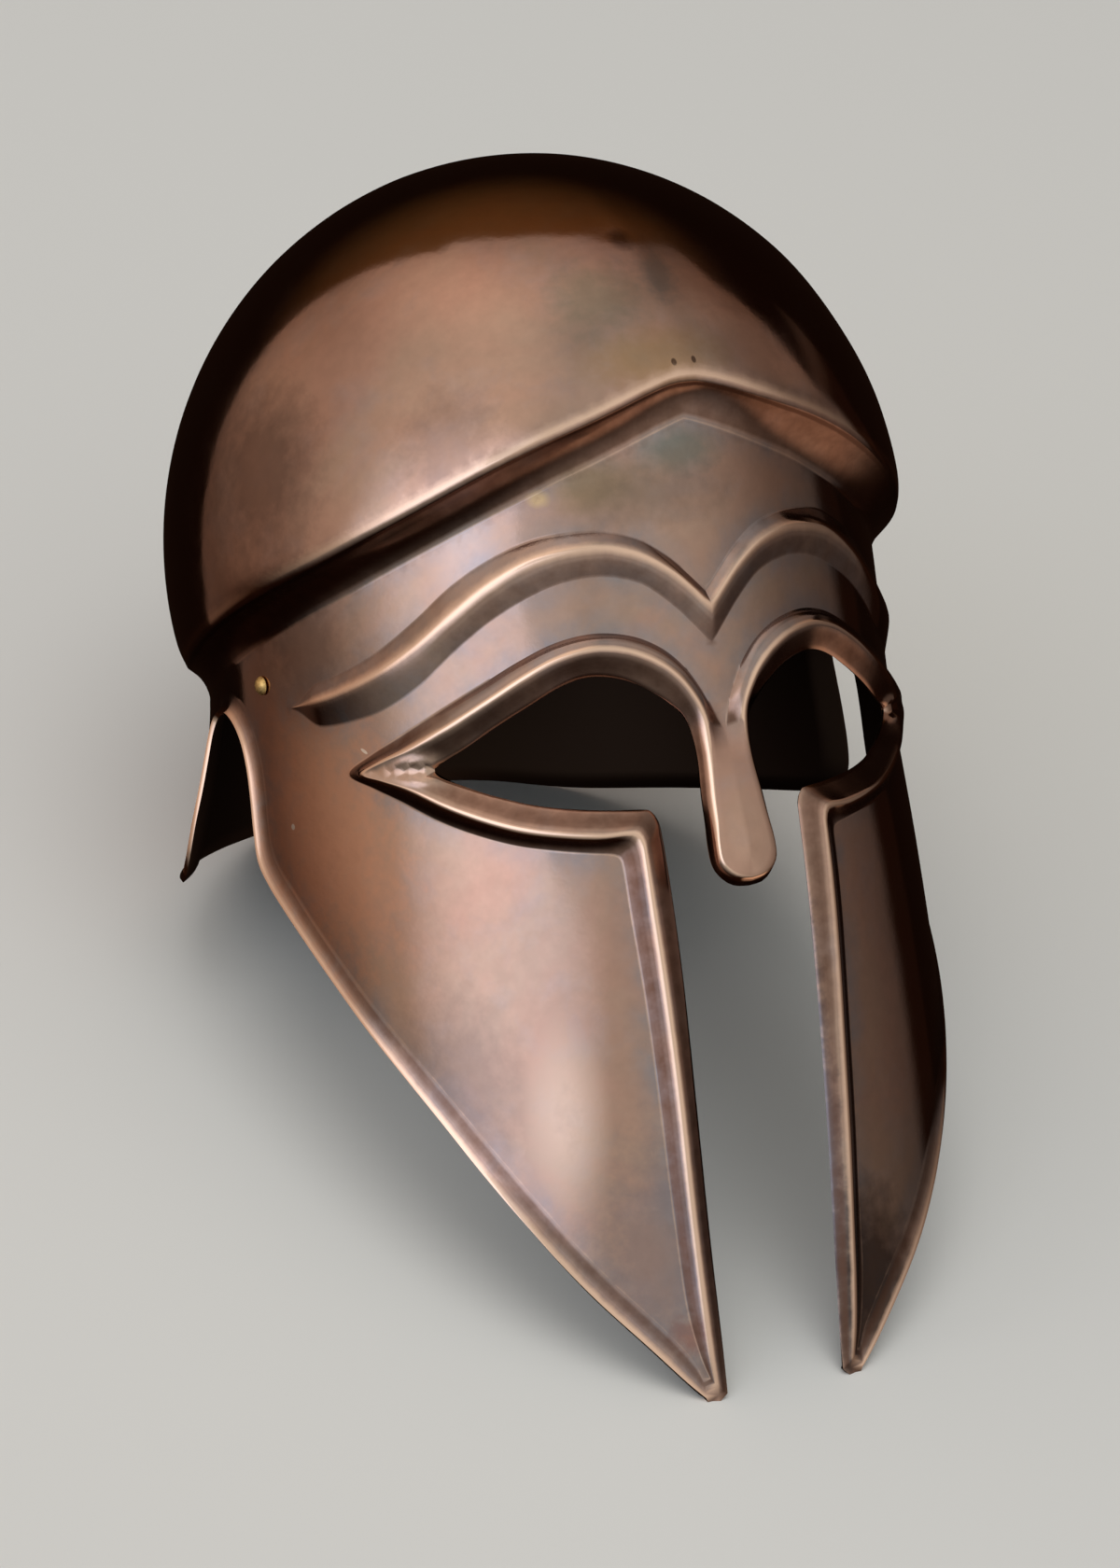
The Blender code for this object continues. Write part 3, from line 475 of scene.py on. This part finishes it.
def wrap_sheet(pattern, creases):
    """Net the flat pattern into faces and wrap it round the head, with its relief."""
    result = delaunay_2d_cdt(pattern.spots, pattern.lines, [], 1, 1e-4)
    flat, faces, sources = result[0], result[2], result[3]
    near = finder(creases)
    work = bmesh.new()
    wear_and_crease_light = work.verts.layers.float.new("wear_and_crease_light")
    tarnish_and_crease_shade = work.verts.layers.float.new("tarnish_and_crease_shade")
    for p, source in zip(flat, sources):
        rise = pattern.rises[source[0]] if source else 0.0
        spot = sheet_point(p.x, p.y) + sheet_normal(p.x, p.y) * rise
        if p.x < 0.001 or p.x > BACK - 0.001:
            spot.x = 0.0
        v = work.verts.new(spot)
        v[wear_and_crease_light] = pattern.wear_and_crease_light[source[0]] if source else 0.0
        # a grey film by each crease, partly tarnish and partly painted shade
        v[tarnish_and_crease_shade] = ease(1.0 - near.find((p.x, p.y, 0.0))[2] / TARNISH_AND_SHADE_REACH)
    work.verts.ensure_lookup_table()
    for face in faces:
        middle = sum((flat[i] for i in face), Vector((0.0, 0.0))) / len(face)
        if (middle - Vector(RIVET)).length > HOLE_RINGS[0]:
            work.faces.new([work.verts[i] for i in face])
    return work, flat


def draw_on(work, loop, spots, worn=0.0):
    """Draw the sheet on by one row: extrude its open edge and take it to the given places."""
    edges = [work.edges.get(pair) for pair in zip(loop, loop[1:])]
    fresh = set(bmesh.ops.extrude_edge_only(work, edges=edges)["geom"])
    wear_and_crease_light, tarnish_and_crease_shade = work.verts.layers.float["wear_and_crease_light"], work.verts.layers.float["tarnish_and_crease_shade"]
    row = []
    for old, spot in zip(loop, spots):
        new = next(e.other_vert(old) for e in old.link_edges if e.other_vert(old) in fresh)
        new.co, new[wear_and_crease_light], new[tarnish_and_crease_shade] = spot, worn, 0.0
        if abs(old.co.x) < 0.0001:
            new.co.x = 0.0
        row.append(new)
    return row


# dome: height of its widest level, its rise above that, half width, half length, rows
DOME_LEVEL, DOME_RISE = 51.0, 114.0
DOME_HALF_WIDTH, DOME_HALF_LENGTH = 106.0, 123.0
DOME_ROWS = 60
CROWN = Vector((0.0, MIDDLE, DOME_LEVEL + DOME_RISE))
# ledge, in and down from the edge of the dome: where its hollowed underside ends, its corner
UNDERSIDE_END = (2.6, 2.3)
CORNER = (0.75, 0.7)
HOLLOW, HOLLOW_ROWS, HOLLOW_WEAR = 0.9, 6, -0.6
CORNER_WEAR = ((0.3, -1.0), (0.6, -0.9), (0.8, -0.5))
# lip rolled over that corner: how far in it rolls, over what height, and its last row
LIP_ROLL, LIP_RUN = 0.7, 7.2
LIP_TOP = 5.4
LIP_WEAR = ((0.0, 0.5), (0.5, 1.0), (1.2, 0.8), (2.2, 0.35), (3.6, 0.1), (LIP_TOP, 0.0))


def dome_point(around, height):
    """The dome above the ledge, a little flatter between front and side."""
    angle = angle_at(around)
    k = math.sqrt(max(0.0, 1.0 - min(1.0, (height - DOME_LEVEL) / DOME_RISE) ** 2))
    r = oval(angle, DOME_HALF_WIDTH, DOME_HALF_LENGTH) * k
    if angle < math.pi / 2:
        r *= 1.0 - 0.015 * math.sin(2 * angle) ** 2 * k ** 4
    return Vector((r * math.sin(angle), MIDDLE - r * math.cos(angle), height))


def raise_half():
    """One half of the shell: the wrapped sheet, with the ledge and the dome drawn on from it."""
    pattern, ledge, creases = lay_pattern()
    work, flat = wrap_sheet(pattern, creases)
    bare = [v for v in work.verts if not v.link_faces]
    near = finder(flat)
    loop = [work.verts[near.find((x, y, 0.0))[1]] for x, y, _, _ in ledge]
    feet = [v.co.copy() for v in loop]
    around = [place[0] for place in ledge]
    tops = [column(LEDGE, x, 2) for x in around]
    inner, corners, outs = [], [], []
    for x, top in zip(around, tops):
        edge = dome_point(x, top - 0.4)
        out = Vector((edge.x, edge.y - MIDDLE, 0.0)).normalized()
        for places, (inward, down) in ((inner, UNDERSIDE_END), (corners, CORNER)):
            places.append(edge - out * inward - Vector((0.0, 0.0, down)))
        outs.append(out)
    for k in range(1, HOLLOW_ROWS + 1):
        t = k / HOLLOW_ROWS
        deep = math.sin(math.pi * t) ** 0.8
        spots = [foot.lerp(end, t) + Vector((-out.x, -out.y, 0.9)).normalized() * HOLLOW * deep
                 for foot, end, out in zip(feet, inner, outs)]
        loop = draw_on(work, loop, spots, HOLLOW_WEAR)
    for t, worn in CORNER_WEAR:
        loop = draw_on(work, loop, [a.lerp(b, t) for a, b in zip(inner, corners)], worn)
    for k, worn in LIP_WEAR:
        spots = [dome_point(x, top + k) - out * LIP_ROLL * (1.0 - k / LIP_RUN) ** 2.2
                 for x, top, out in zip(around, tops, outs)]
        loop = draw_on(work, loop, spots, worn)
    starts = [math.asin((top + LIP_TOP - DOME_LEVEL) / DOME_RISE) for top in tops]
    for k in range(1, DOME_ROWS):
        spots = [dome_point(x, DOME_LEVEL + DOME_RISE
                            * math.sin(mix(start, math.pi / 2, k / DOME_ROWS)))
                 for x, start in zip(around, starts)]
        loop = draw_on(work, loop, spots)
    bmesh.ops.pointmerge(work, verts=draw_on(work, loop, [CROWN] * len(loop)), merge_co=CROWN)
    bmesh.ops.delete(work, geom=bare, context="VERTS")
    return work


# hammer marks left under the polish: size, depth, shift
HAMMER_MARKS = ((34.0, 0.10, (0, 0, 0)), (11.0, 0.035, (7, 0, 3)))
# dents of use: place on the helmet, reach and depth
DENTS = (
    ((-1.8, 30.0, 135.4), (6.0, 4.6, 6.0), 0.2),
    ((-86.0, 62.0, 96.0), (16.0, 16.0, 12.0), 0.5),
    ((78.0, 50.0, 110.0), (15.0, 15.0, 15.0), 0.5),
    ((-92.0, 96.0, -60.0), (8.0, 8.0, 8.0), 0.4),
)
# what is uneven stands in front of this depth, and comes in over this run
FRONT, FRONT_RUN = 60.0, 30.0
# right cheek, a millimetre further in than the left: inner side, top, deepest height, reach
CHEEK_SIDE, CHEEK_TOP, CHEEK_DEEPEST, CHEEK_REACH = -12.0, 5.0, -65.0, 42.0
# faint ridge up the front of the dome: foot, height, half width
RIDGE_FOOT, RIDGE, RIDGE_WIDTH = 92.0, 0.16, 4.0


def hammer(work):
    """Faint waves left by the hammer, the dents of use, and what is uneven left to right."""
    bmesh.ops.recalc_face_normals(work, faces=work.faces)
    work.normal_update()
    moves = []
    for v in work.verts:
        p = v.co
        depth = sum(deep * noise.noise(p / size + Vector(shift))
                    for size, deep, shift in HAMMER_MARKS)
        for centre, reach, deep in DENTS:
            q = [(a - c) / r for a, c, r in zip(p, centre, reach)]
            away = q[0] ** 2 + q[1] ** 2 + q[2] ** 2
            if away < 9.0:
                depth -= deep * math.exp(-away)
        front = ease((FRONT - p.y) / FRONT_RUN)
        if p.x < CHEEK_SIDE and p.z < CHEEK_TOP:
            v.co.x += math.exp(-((p.z - CHEEK_DEEPEST) / CHEEK_REACH) ** 2) * front
        if p.z > RIDGE_FOOT:
            depth += RIDGE * math.exp(-(p.x / RIDGE_WIDTH) ** 2) * front
        moves.append(v.normal * depth)
    for v, move in zip(work.verts, moves):
        v.co += move


def stand(work):
    """Lean the shell back, and set it down on its neck rim and its cheek tips."""
    bmesh.ops.rotate(work, verts=work.verts, matrix=Matrix.Rotation(-LEAN, 3, "X"))
    bmesh.ops.scale(work, verts=work.verts, vec=Vector((MM, MM, MM)))
    ys = [v.co.y for v in work.verts]
    middle = 0.5 * (min(ys) + max(ys))
    floor = min(v.co.z for v in work.verts if v.co.y > middle)
    shift = Vector((0.0, -middle, -floor))
    bmesh.ops.translate(work, verts=work.verts, vec=shift)
    return shift


shell = bpy.data.objects.new("helmet_shell_raised", bpy.data.meshes.new("helmet_shell_raised"))
bpy.context.scene.collection.objects.link(shell)
work = raise_half()
bmesh.ops.mirror(work, geom=work.verts[:] + work.edges[:] + work.faces[:], axis="X",
                 merge_dist=0.002)
bmesh.ops.remove_doubles(work, verts=work.verts, dist=0.005)
hammer(work)
shift = stand(work)
work.to_mesh(shell.data)
work.free()
for face in shell.data.polygons:
    face.use_smooth = True
# the thickness of the sheet goes inward, and its cut edge is rounded
wall = shell.modifiers.new("wall", "SOLIDIFY")
wall.thickness = SHEET * MM
wall.offset = -1.0
wall.use_even_offset = False
wall.material_offset = 1
edge = shell.modifiers.new("rounded_edge", "BEVEL")
edge.width = 0.3 * MM
edge.segments = 2
edge.limit_method = "ANGLE"
edge.angle_limit = math.radians(62)  # sharper than any chased line, so only the cut edge


def add_node(tree, kind, inputs=(), output=0, **settings):
    """Add a node with its settings, set or link its inputs, and give one of its outputs."""
    made = tree.nodes.new("ShaderNode" + kind)
    for key, value in settings.items():
        setattr(made, key, value)
    for key, value in inputs.items() if isinstance(inputs, dict) else enumerate(inputs):
        if isinstance(value, bpy.types.NodeSocket):
            tree.links.new(value, made.inputs[key])
        else:
            made.inputs[key].default_value = value
    return made.outputs[output] if made.outputs else made


def linear(code):
    """Linear colour of an sRGB hex value."""
    parts = [int(code[k:k + 2], 16) / 255 for k in (0, 2, 4)]
    return [v / 12.92 if v <= 0.04045 else ((v + 0.055) / 1.055) ** 2.4 for v in parts] + [1.0]


def plain_metal(name, colour, roughness):
    made = bpy.data.materials.new(name)
    made.use_nodes = True
    shader = made.node_tree.nodes["Principled BSDF"]
    shader.inputs["Base Color"].default_value = linear(colour)
    shader.inputs["Metallic"].default_value = 1.0
    shader.inputs["Roughness"].default_value = roughness
    return made


# tarnish from wide clouds to small ones, and polishing grain, which is drawn coarser than the
# real scratches so that it shows: size in millimetres, detail, distortion, shift
CLOUDS = (
    (52.0, 4.0, 0.5, (0.0, 0.0, 0.0)),
    (17.0, 5.0, 0.3, (0.31, 0.12, 0.05)),
    (4.5, 4.0, 0.0, (0.11, 0.42, 0.27)),
    (0.9, 2.0, 0.0, (0.0, 0.2, 0.1)),
)
# stains, specks, scratches, and some painted highlights, a painted glint and painted shade: place
# where it stands, reach, amount, raggedness, colour
MARKS = (
    # painted reflection of the bright strip light on the forehead
    ((-58.0, -15.0, 178.0), (10.0, 12.0, 20.0), 0.15, 0.15, "cfc8cc"),
    # painted golden glint on the forehead
    ((-40.2, -18.0, 195.8), (4.4, 3.4, 2.6), 0.6, 0.12, "deb57c"),
    ((-26.0, -22.0, 201.0), (20.0, 9.0, 9.0), 0.5, 0.08, "917c58"),
    ((-2.0, -22.5, 210.5), (16.0, 8.0, 8.0), 0.6, 0.1, "6c776e"),
    ((-10.0, -26.0, 200.0), (26.0, 12.0, 12.0), 0.5, 0.08, "796558"),
    ((22.0, -8.0, 229.0), (18.0, 18.0, 16.0), 0.4, 0.12, "8b6f60"),
    ((-62.8, -4.0, 206.0), (17.0, 18.0, 22.0), 0.55, 0.12, "8a6d5f"),
    ((-16.9, 11.6, 238.7), (17.0, 15.0, 12.0), 0.4, 0.2, "8e8872"),
    ((2.5, 16.0, 241.0), (7.0, 12.0, 8.0), 0.4, 0.3, "7c7a76"),
    ((-8.0, -9.0, 232.0), (26.0, 12.0, 10.0), 0.4, 0.1, "b98c52"),
    # painted shade of the dent on the dome's front
    ((-2.2, 31.4, 244.4), (4.6, 6.0, 6.0), 0.65, 0.12, "43261a"),
    ((-27.2, -161.5, 15.5), (6.0, 7.0, 7.0), 0.5, 0.4, "a0583c"),
    ((-33.0, -147.0, 30.0), (22.0, 40.0, 44.0), 0.45, 0.2, "8a7a7c"),
    ((-73.0, -95.0, 60.0), (16.0, 34.0, 28.0), 0.45, 0.06, "7e6862"),
    # painted highlight, the bright middle of the near cheek
    ((-52.0, -118.0, 62.0), (11.0, 24.0, 34.0), 0.35, 0.1, "f3ccb0"),
    ((-90.0, -25.0, 93.0), (18.0, 46.0, 40.0), 0.7, 0.3, "dca283"),
    ((-28.6, -93.0, 113.0), (4.0, 10.0, 16.0), 0.45, 0.2, "6a6c74"),
    ((-89.5, 8.0, 134.0), (14.0, 28.0, 26.0), 0.75, 0.08, "7a6258"),
    ((-95.0, 40.0, 172.0), (16.0, 32.0, 38.0), 0.8, 0.08, "72594d"),
    ((0.0, -92.0, 130.0), (12.0, 16.0, 28.0), 0.45, 0.1, "d0aa92"),
    ((20.7, -103.0, 106.0), (1.4, 2.0, 1.8), 0.9, 0.3, "2a211e"),
    # painted shade on the far border's inner slope
    ((19.6, -130.0, 50.0), (3.8, 72.0, 90.0), 0.8, 0.3, "5b5a60"),
    ((30.0, -156.0, 18.0), (22.0, 26.0, 38.0), 0.8, 0.1, "40302a"),
    ((-2.9, -11.1, 231.2), (0.9, 1.2, 1.6), 0.8, 0.0, "40291f"),
    ((3.1, -10.9, 231.3), (0.8, 1.2, 1.4), 0.8, 0.0, "40291f"),
    ((-94.6, -10.3, 87.1), (1.0, 1.0, 1.0), 1.0, 0.0, "f2ece6"),
    ((-82.5, -22.4, 120.6), (1.2, 1.6, 0.5), 0.9, 0.0, "f0dccc"),
)


def polished_bronze():
    """Bronze sheet, polished on its high places over an old brown patina. It is warm and satin,
    bright on the crests, brown in the chased creases, with grey and golden clouds of tarnish.
    A grey film by the creases is partly painted shade, some marks are painted highlights, a
    painted glint and painted shade, and thin painted light lines run along the creases."""
    made = plain_metal("bronze_polished_over_patina", "ba8f7b", 0.08)
    tree = made.node_tree
    place = add_node(tree, "TexCoord", output="Object")
    wear_and_crease_light = add_node(tree, "Attribute", output="Fac", attribute_name="wear_and_crease_light")
    tarnish_and_crease_shade = add_node(tree, "Attribute", output="Fac", attribute_name="tarnish_and_crease_shade")
    clouds = []
    for size, detail, distortion, moved in CLOUDS:
        spot = add_node(tree, "VectorMath", (place, moved), operation="ADD")
        clouds.append(add_node(tree, "TexNoise", {
            "Vector": spot, "Scale": 1000 / size, "Detail": detail, "Roughness": 0.6,
            "Distortion": distortion}, "Fac"))
    wide, middling, small, grain = clouds

    # tarnish: broad olive and grey clouds, a grey film by the creases that is partly tarnish and
    # partly painted shade, then each mark in its place, some of them painted highlights and
    # painted shade
    olive = add_node(tree, "MapRange", (wide, 0.38, 0.66))
    grey = add_node(tree, "MapRange", (middling, 0.50, 0.72, 0.0, 0.24))
    patchy = add_node(tree, "MapRange", (middling, 0.35, 0.62, 0.15, 0.65))
    # painted shade by the creases, patchy and greyed like tarnish
    crease_tarnish_and_shade = add_node(tree, "Math", (tarnish_and_crease_shade, patchy), operation="MULTIPLY")
    layers = [(olive, "b3927e"), (grey, "a3979a"), (crease_tarnish_and_shade, "8f898b")]
    for spot, reach, amount, ragged, colour in MARKS:
        away = add_node(tree, "VectorMath", (place, [v * MM for v in spot]),
                        operation="SUBTRACT")
        away = add_node(tree, "VectorMath", (away, [1.0 / (v * MM) for v in reach]),
                        operation="MULTIPLY")
        away = add_node(tree, "VectorMath", (away,), "Value", operation="LENGTH")
        frayed = add_node(tree, "MapRange", (small, 0.3, 0.7, -ragged, ragged))
        away = add_node(tree, "Math", (away, frayed), operation="ADD")
        whole = 0.35 if ragged else 0.7
        layers.append((add_node(tree, "MapRange", (away, 1.0, whole, 0.0, amount)), colour))
    tint = linear("ba8f7b")
    for share, colour in layers:
        tint = add_node(tree, "Mix", {0: share, 6: tint, 7: linear(colour)}, 2,
                        data_type="RGBA")
    mottle = add_node(tree, "MapRange", (small, 0.3, 0.7, 0.95, 1.05))
    tint = add_node(tree, "Mix", {0: 1.0, 6: tint, 7: mottle}, 2, data_type="RGBA",
                    blend_type="MULTIPLY")

    # brown patina left in the creases, and bare bronze where the crests are polished through; the
    # same pale colour paints the light lines along the creases, and the patina colour the dark
    # line below the ledge
    jitter = add_node(tree, "MapRange", (small, 0.3, 0.7, -0.10, 0.10))
    worn = add_node(tree, "Math", (wear_and_crease_light, jitter), operation="ADD")
    for start, full, colour in ((-0.1, -0.9, "6a4a3b"), (0.1, 0.9, "efc4a8")):
        share = add_node(tree, "MapRange", (worn, start, full))
        tint = add_node(tree, "Mix", {0: share, 6: tint, 7: linear(colour)}, 2,
                        data_type="RGBA")
    # satin where it is polished and duller in the creases, with a fine uneven skin all over
    satin = add_node(tree, "MapRange", (middling, 0.35, 0.65, 0.06, 0.10))
    duller = add_node(tree, "MapRange", (worn, 0.2, -0.9, 0.0, 0.14))
    rough = add_node(tree, "Math", (satin, duller), operation="ADD")
    height = add_node(tree, "Math", (grain, 0.22, small), operation="MULTIPLY_ADD")
    bump = add_node(tree, "Bump", {"Strength": 1.0, "Distance": 0.022 * MM, "Height": height})
    shader = tree.nodes["Principled BSDF"]
    for name, source in (("Base Color", tint), ("Roughness", rough), ("Normal", bump)):
        tree.links.new(source, shader.inputs[name])
    return made


shell.data.materials.append(polished_bronze())
# Bronze inside, left as the hammer left it and never polished: brown-black and dull, and darkened
# further as painted shade inside the helmet.
shell.data.materials.append(plain_metal("bronze_hammered_inside_painted_shade", "35271f", 0.5))

# the rims that it stands on are filed flat, level with the floor
ready = shell.evaluated_get(bpy.context.evaluated_depsgraph_get())
finished = bpy.data.meshes.new_from_object(ready)
shell.modifiers.clear()
shell.data = finished
work = bmesh.new()
work.from_mesh(finished)
cut = bmesh.ops.bisect_plane(work, geom=work.verts[:] + work.edges[:] + work.faces[:],
                             dist=0.000001, plane_co=(0, 0, 0), plane_no=(0, 0, 1),
                             clear_inner=True)
rims = [g for g in cut["geom_cut"] if isinstance(g, bmesh.types.BMEdge)]
bmesh.ops.holes_fill(work, edges=rims)
work.to_mesh(finished)
work.free()
finished.set_sharp_from_angle(angle=math.radians(50))
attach(shell, "root")
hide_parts("helmet_shell")

# ---- rivets -----------------------------------------------------------------------------
# Two brass rivets, one on each temple, that held the lining. Each has a domed head outside, a
# shank through its hole, and a tail hammered over inside. Radius and height, in millimetres.
RIVET_OUTLINE = (
    (0.0, 1.98), (0.5, 1.95), (1.0, 1.86), (1.5, 1.68), (1.95, 1.41), (2.3, 1.09), (2.55, 0.76),
    (2.7, 0.46), (2.62, 0.35), (2.4, 0.33), (1.3, 0.33), (1.3, -1.72), (2.15, -1.72),
    (2.18, -1.95), (2.0, -2.25), (1.6, -2.5), (1.0, -2.66), (0.0, -2.7),
)


def aged_brass():
    """Cast brass, rubbed smooth and gone dull. It is pale gold with brown in its pores."""
    made = plain_metal("brass_rubbed_aged", "d6b680", 0.48)
    tree = made.node_tree
    place = add_node(tree, "TexCoord", output="Object")
    pores = add_node(tree, "TexNoise", {"Vector": place, "Scale": 1000 / 0.9, "Detail": 3.0},
                     "Fac")
    share = add_node(tree, "MapRange", (pores, 0.42, 0.62, 0.0, 0.55))
    tint = add_node(tree, "Mix", {0: share, 6: linear("e8be78"), 7: linear("8a6a42")}, 2,
                    data_type="RGBA")
    bump = add_node(tree, "Bump", {"Strength": 1.0, "Distance": 0.04 * MM, "Height": pores})
    shader = tree.nodes["Principled BSDF"]
    for name, source in (("Base Color", tint), ("Normal", bump)):
        tree.links.new(source, shader.inputs[name])
    return made


brass = aged_brass()
for side, name in ((-1.0, "rivet_right"), (1.0, "rivet_left")):
    rivet = bpy.data.objects.new(name + "_domed", bpy.data.meshes.new(name + "_domed"))
    bpy.context.scene.collection.objects.link(rivet)
    foot, axis = sheet_point(*RIVET), sheet_normal(*RIVET)
    foot.x, axis.x = foot.x * side, axis.x * side
    work = bmesh.new()
    chain = [work.verts.new((r, 0.0, z)) for r, z in RIVET_OUTLINE]
    links = [work.edges.new(pair) for pair in zip(chain, chain[1:])]
    bmesh.ops.spin(work, geom=chain + links, cent=(0, 0, 0), axis=(0, 0, 1), angle=math.tau,
                   steps=48, use_merge=True)
    bmesh.ops.remove_doubles(work, verts=work.verts, dist=0.002)
    bmesh.ops.recalc_face_normals(work, faces=work.faces)
    work.transform(axis.to_track_quat("Z", "Y").to_matrix().to_4x4())
    work.transform(Matrix.Translation(shift) @ Matrix.Rotation(-LEAN, 4, "X")
                   @ Matrix.Scale(MM, 4) @ Matrix.Translation(foot))
    work.to_mesh(rivet.data)
    work.free()
    for face in rivet.data.polygons:
        face.use_smooth = True
    rivet.data.set_sharp_from_angle(angle=math.radians(50))
    rivet.data.materials.append(brass)
    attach(rivet, "root")
    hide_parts(name)

# ---- floor, light and camera ------------------------------------------------------------
# A pale matt floor, soft round lights that show in the metal, a dark part of the room behind
# and above, and one lamp overhead, which lights the floor and casts the soft shadow.
bpy.ops.mesh.primitive_plane_add(size=12.0, location=(0, 0, 0))
ground = bpy.context.object
ground.name = "floor"
ground.visible_glossy = False
# Painted board, rolled on matt: pale, even and without gloss.
paint = bpy.data.materials.new("pale_floor")
paint.use_nodes = True
board = paint.node_tree.nodes["Principled BSDF"]
board.inputs["Base Color"].default_value = linear("dcd9d4")
board.inputs["Roughness"].default_value = 0.9
ground.data.materials.append(paint)

# round lights: name, degrees round and up, full within and gone past in degrees, colour, room
LIGHTS = (
    ("strip", -67, 20, 0, 37, (0.70, 0.84, 1.12), "lit"),
    ("floor_bounce", 44, -42, 7, 28, (0.58, 0.42, 0.31), "lit"),
    ("main", -44, 48, 2, 101, (0.575, 0.64, 0.65), "lit"),
    ("right_wall", 36, 27, 62, 71, (0.085, 0.083, 0.080), "lit"),
    ("right", 45, 27, 8, 60, (0.115, 0.105, 0.095), "lit"),
    ("left_behind", -116, 27, 32, 60, (0.35, 0.28, 0.226), "lit"),
    ("left_low", -150, -18, 8, 42, (0.13, 0.09, 0.07), "lit"),
    ("behind", -174, 46, 0, 37, (0.28, 0.23, 0.20), "lit"),
    ("right_behind", 146, 56, 0, 30, (0.11, 0.085, 0.07), "lit"),
    ("right_side", 115, 30, 4, 26, (0.15, 0.115, 0.09), "lit"),
    ("glimmer", -147, 60, 10, 68, (0.181, 0.095, 0.032), "dark"),
)
# straight edges: name, direction, and how far along it the edge starts and is full
EDGES = (
    ("gap", (-0.690, 0.569, -0.447), 0.04, -0.04),
    ("gap_low", (0, 0, 1), 0.42, 0.48),
    ("gap_high", (0, 0, 1), 0.68, 0.58),
    ("dark_right", (-0.281, 0.894, -0.35), 0.104, 0.116),
    ("upper", (0, 0, 1), 0.1, 0.3),
    ("upper_right", (0.237, 0.889, -0.392), 0.343, 0.355),
    ("dark_front", (-0.021, -0.075, -0.997), -0.62, -0.60),
    ("dark_behind", (0.297, 0.928, 0.224), 0.855, 0.869),
    ("dark_left", (0.903, 0.338, -0.267), -0.04, -0.02),
)
# how they are put together: a gap dims the strip light, and the edges bound the dark part
JOINS = (
    ("gap", "MULTIPLY", "gap", "gap_low"),
    ("gap", "MULTIPLY", "gap", "gap_high"),
    ("dimmed", "MULTIPLY_ADD", "gap", -0.55, 1.0),
    ("strip", "MULTIPLY", "dimmed", "strip"),
    ("upper_right", "MULTIPLY", "upper", "upper_right"),
    ("dark_right", "MAXIMUM", "dark_right", "upper_right"),
    ("dark_above", "MAXIMUM", "dark_front", "dark_behind"),
    ("dark", "MULTIPLY", "dark_right", "dark_above"),
    ("dark", "MULTIPLY", "dark", "dark_left"),
)
world = bpy.data.worlds.new("studio")
bpy.context.scene.world = world
world.use_nodes = True
tree = world.node_tree
tree.nodes.clear()
toward = add_node(tree, "TexCoord", output="Generated")
outlines = list(EDGES)
for name, azimuth, height, full, gone, _, _ in LIGHTS:
    a, e = math.radians(azimuth), math.radians(height)
    centre = (math.sin(a) * math.cos(e), -math.cos(a) * math.cos(e), math.sin(e))
    outlines.append((name, centre, math.cos(math.radians(gone)), math.cos(math.radians(full))))
parts = {}
for name, direction, start, full in outlines:
    along = add_node(tree, "VectorMath", (toward, direction), "Value", operation="DOT_PRODUCT")
    parts[name] = add_node(tree, "MapRange", (along, start, full),
                           interpolation_type="SMOOTHSTEP")
for name, operation, *values in JOINS:
    parts[name] = add_node(tree, "Math", [parts.get(v, v) for v in values],
                           operation=operation)
# faint light from all round, different in the two parts of the room, and the lights on top
rooms = {"lit": (0.016, 0.007, 0.004), "dark": (0.008, 0.0035, 0.002)}
for name, _, _, _, _, colour, room in LIGHTS:
    rooms[room] = add_node(tree, "VectorMath", (parts[name], colour, rooms[room]),
                           operation="MULTIPLY_ADD")
both = add_node(tree, "Mix", {0: parts["dark"], 4: rooms["lit"], 5: rooms["dark"]}, 1,
                data_type="VECTOR")
shade = add_node(tree, "Background", {"Color": both})
add_node(tree, "OutputWorld", {"Surface": shade})

# one soft disc lamp, which the metal doesn't mirror
lamp = bpy.data.lights.new("overhead", "AREA")
lamp.shape, lamp.size, lamp.energy = "DISK", 1.6, 12.0
hung = bpy.data.objects.new("overhead", lamp)
hung.location = (-0.3, -0.3, 2.2)
hung.visible_glossy = False
bpy.context.scene.collection.objects.link(hung)

# long lens, in front of the helmet's right cheek and looking down on it
lens = bpy.data.cameras.new("camera")
lens.lens = 101.57
lens.sensor_width = 36.0
view = bpy.data.objects.new("camera", lens)
view.location = (-0.5295, -0.9019, 0.8336)
view.rotation_euler = [math.radians(v) for v in (53.67, -8.82, -23.68)]
bpy.context.scene.collection.objects.link(view)
bpy.context.scene.camera = view
bpy.context.scene.view_settings.view_transform = "Standard"
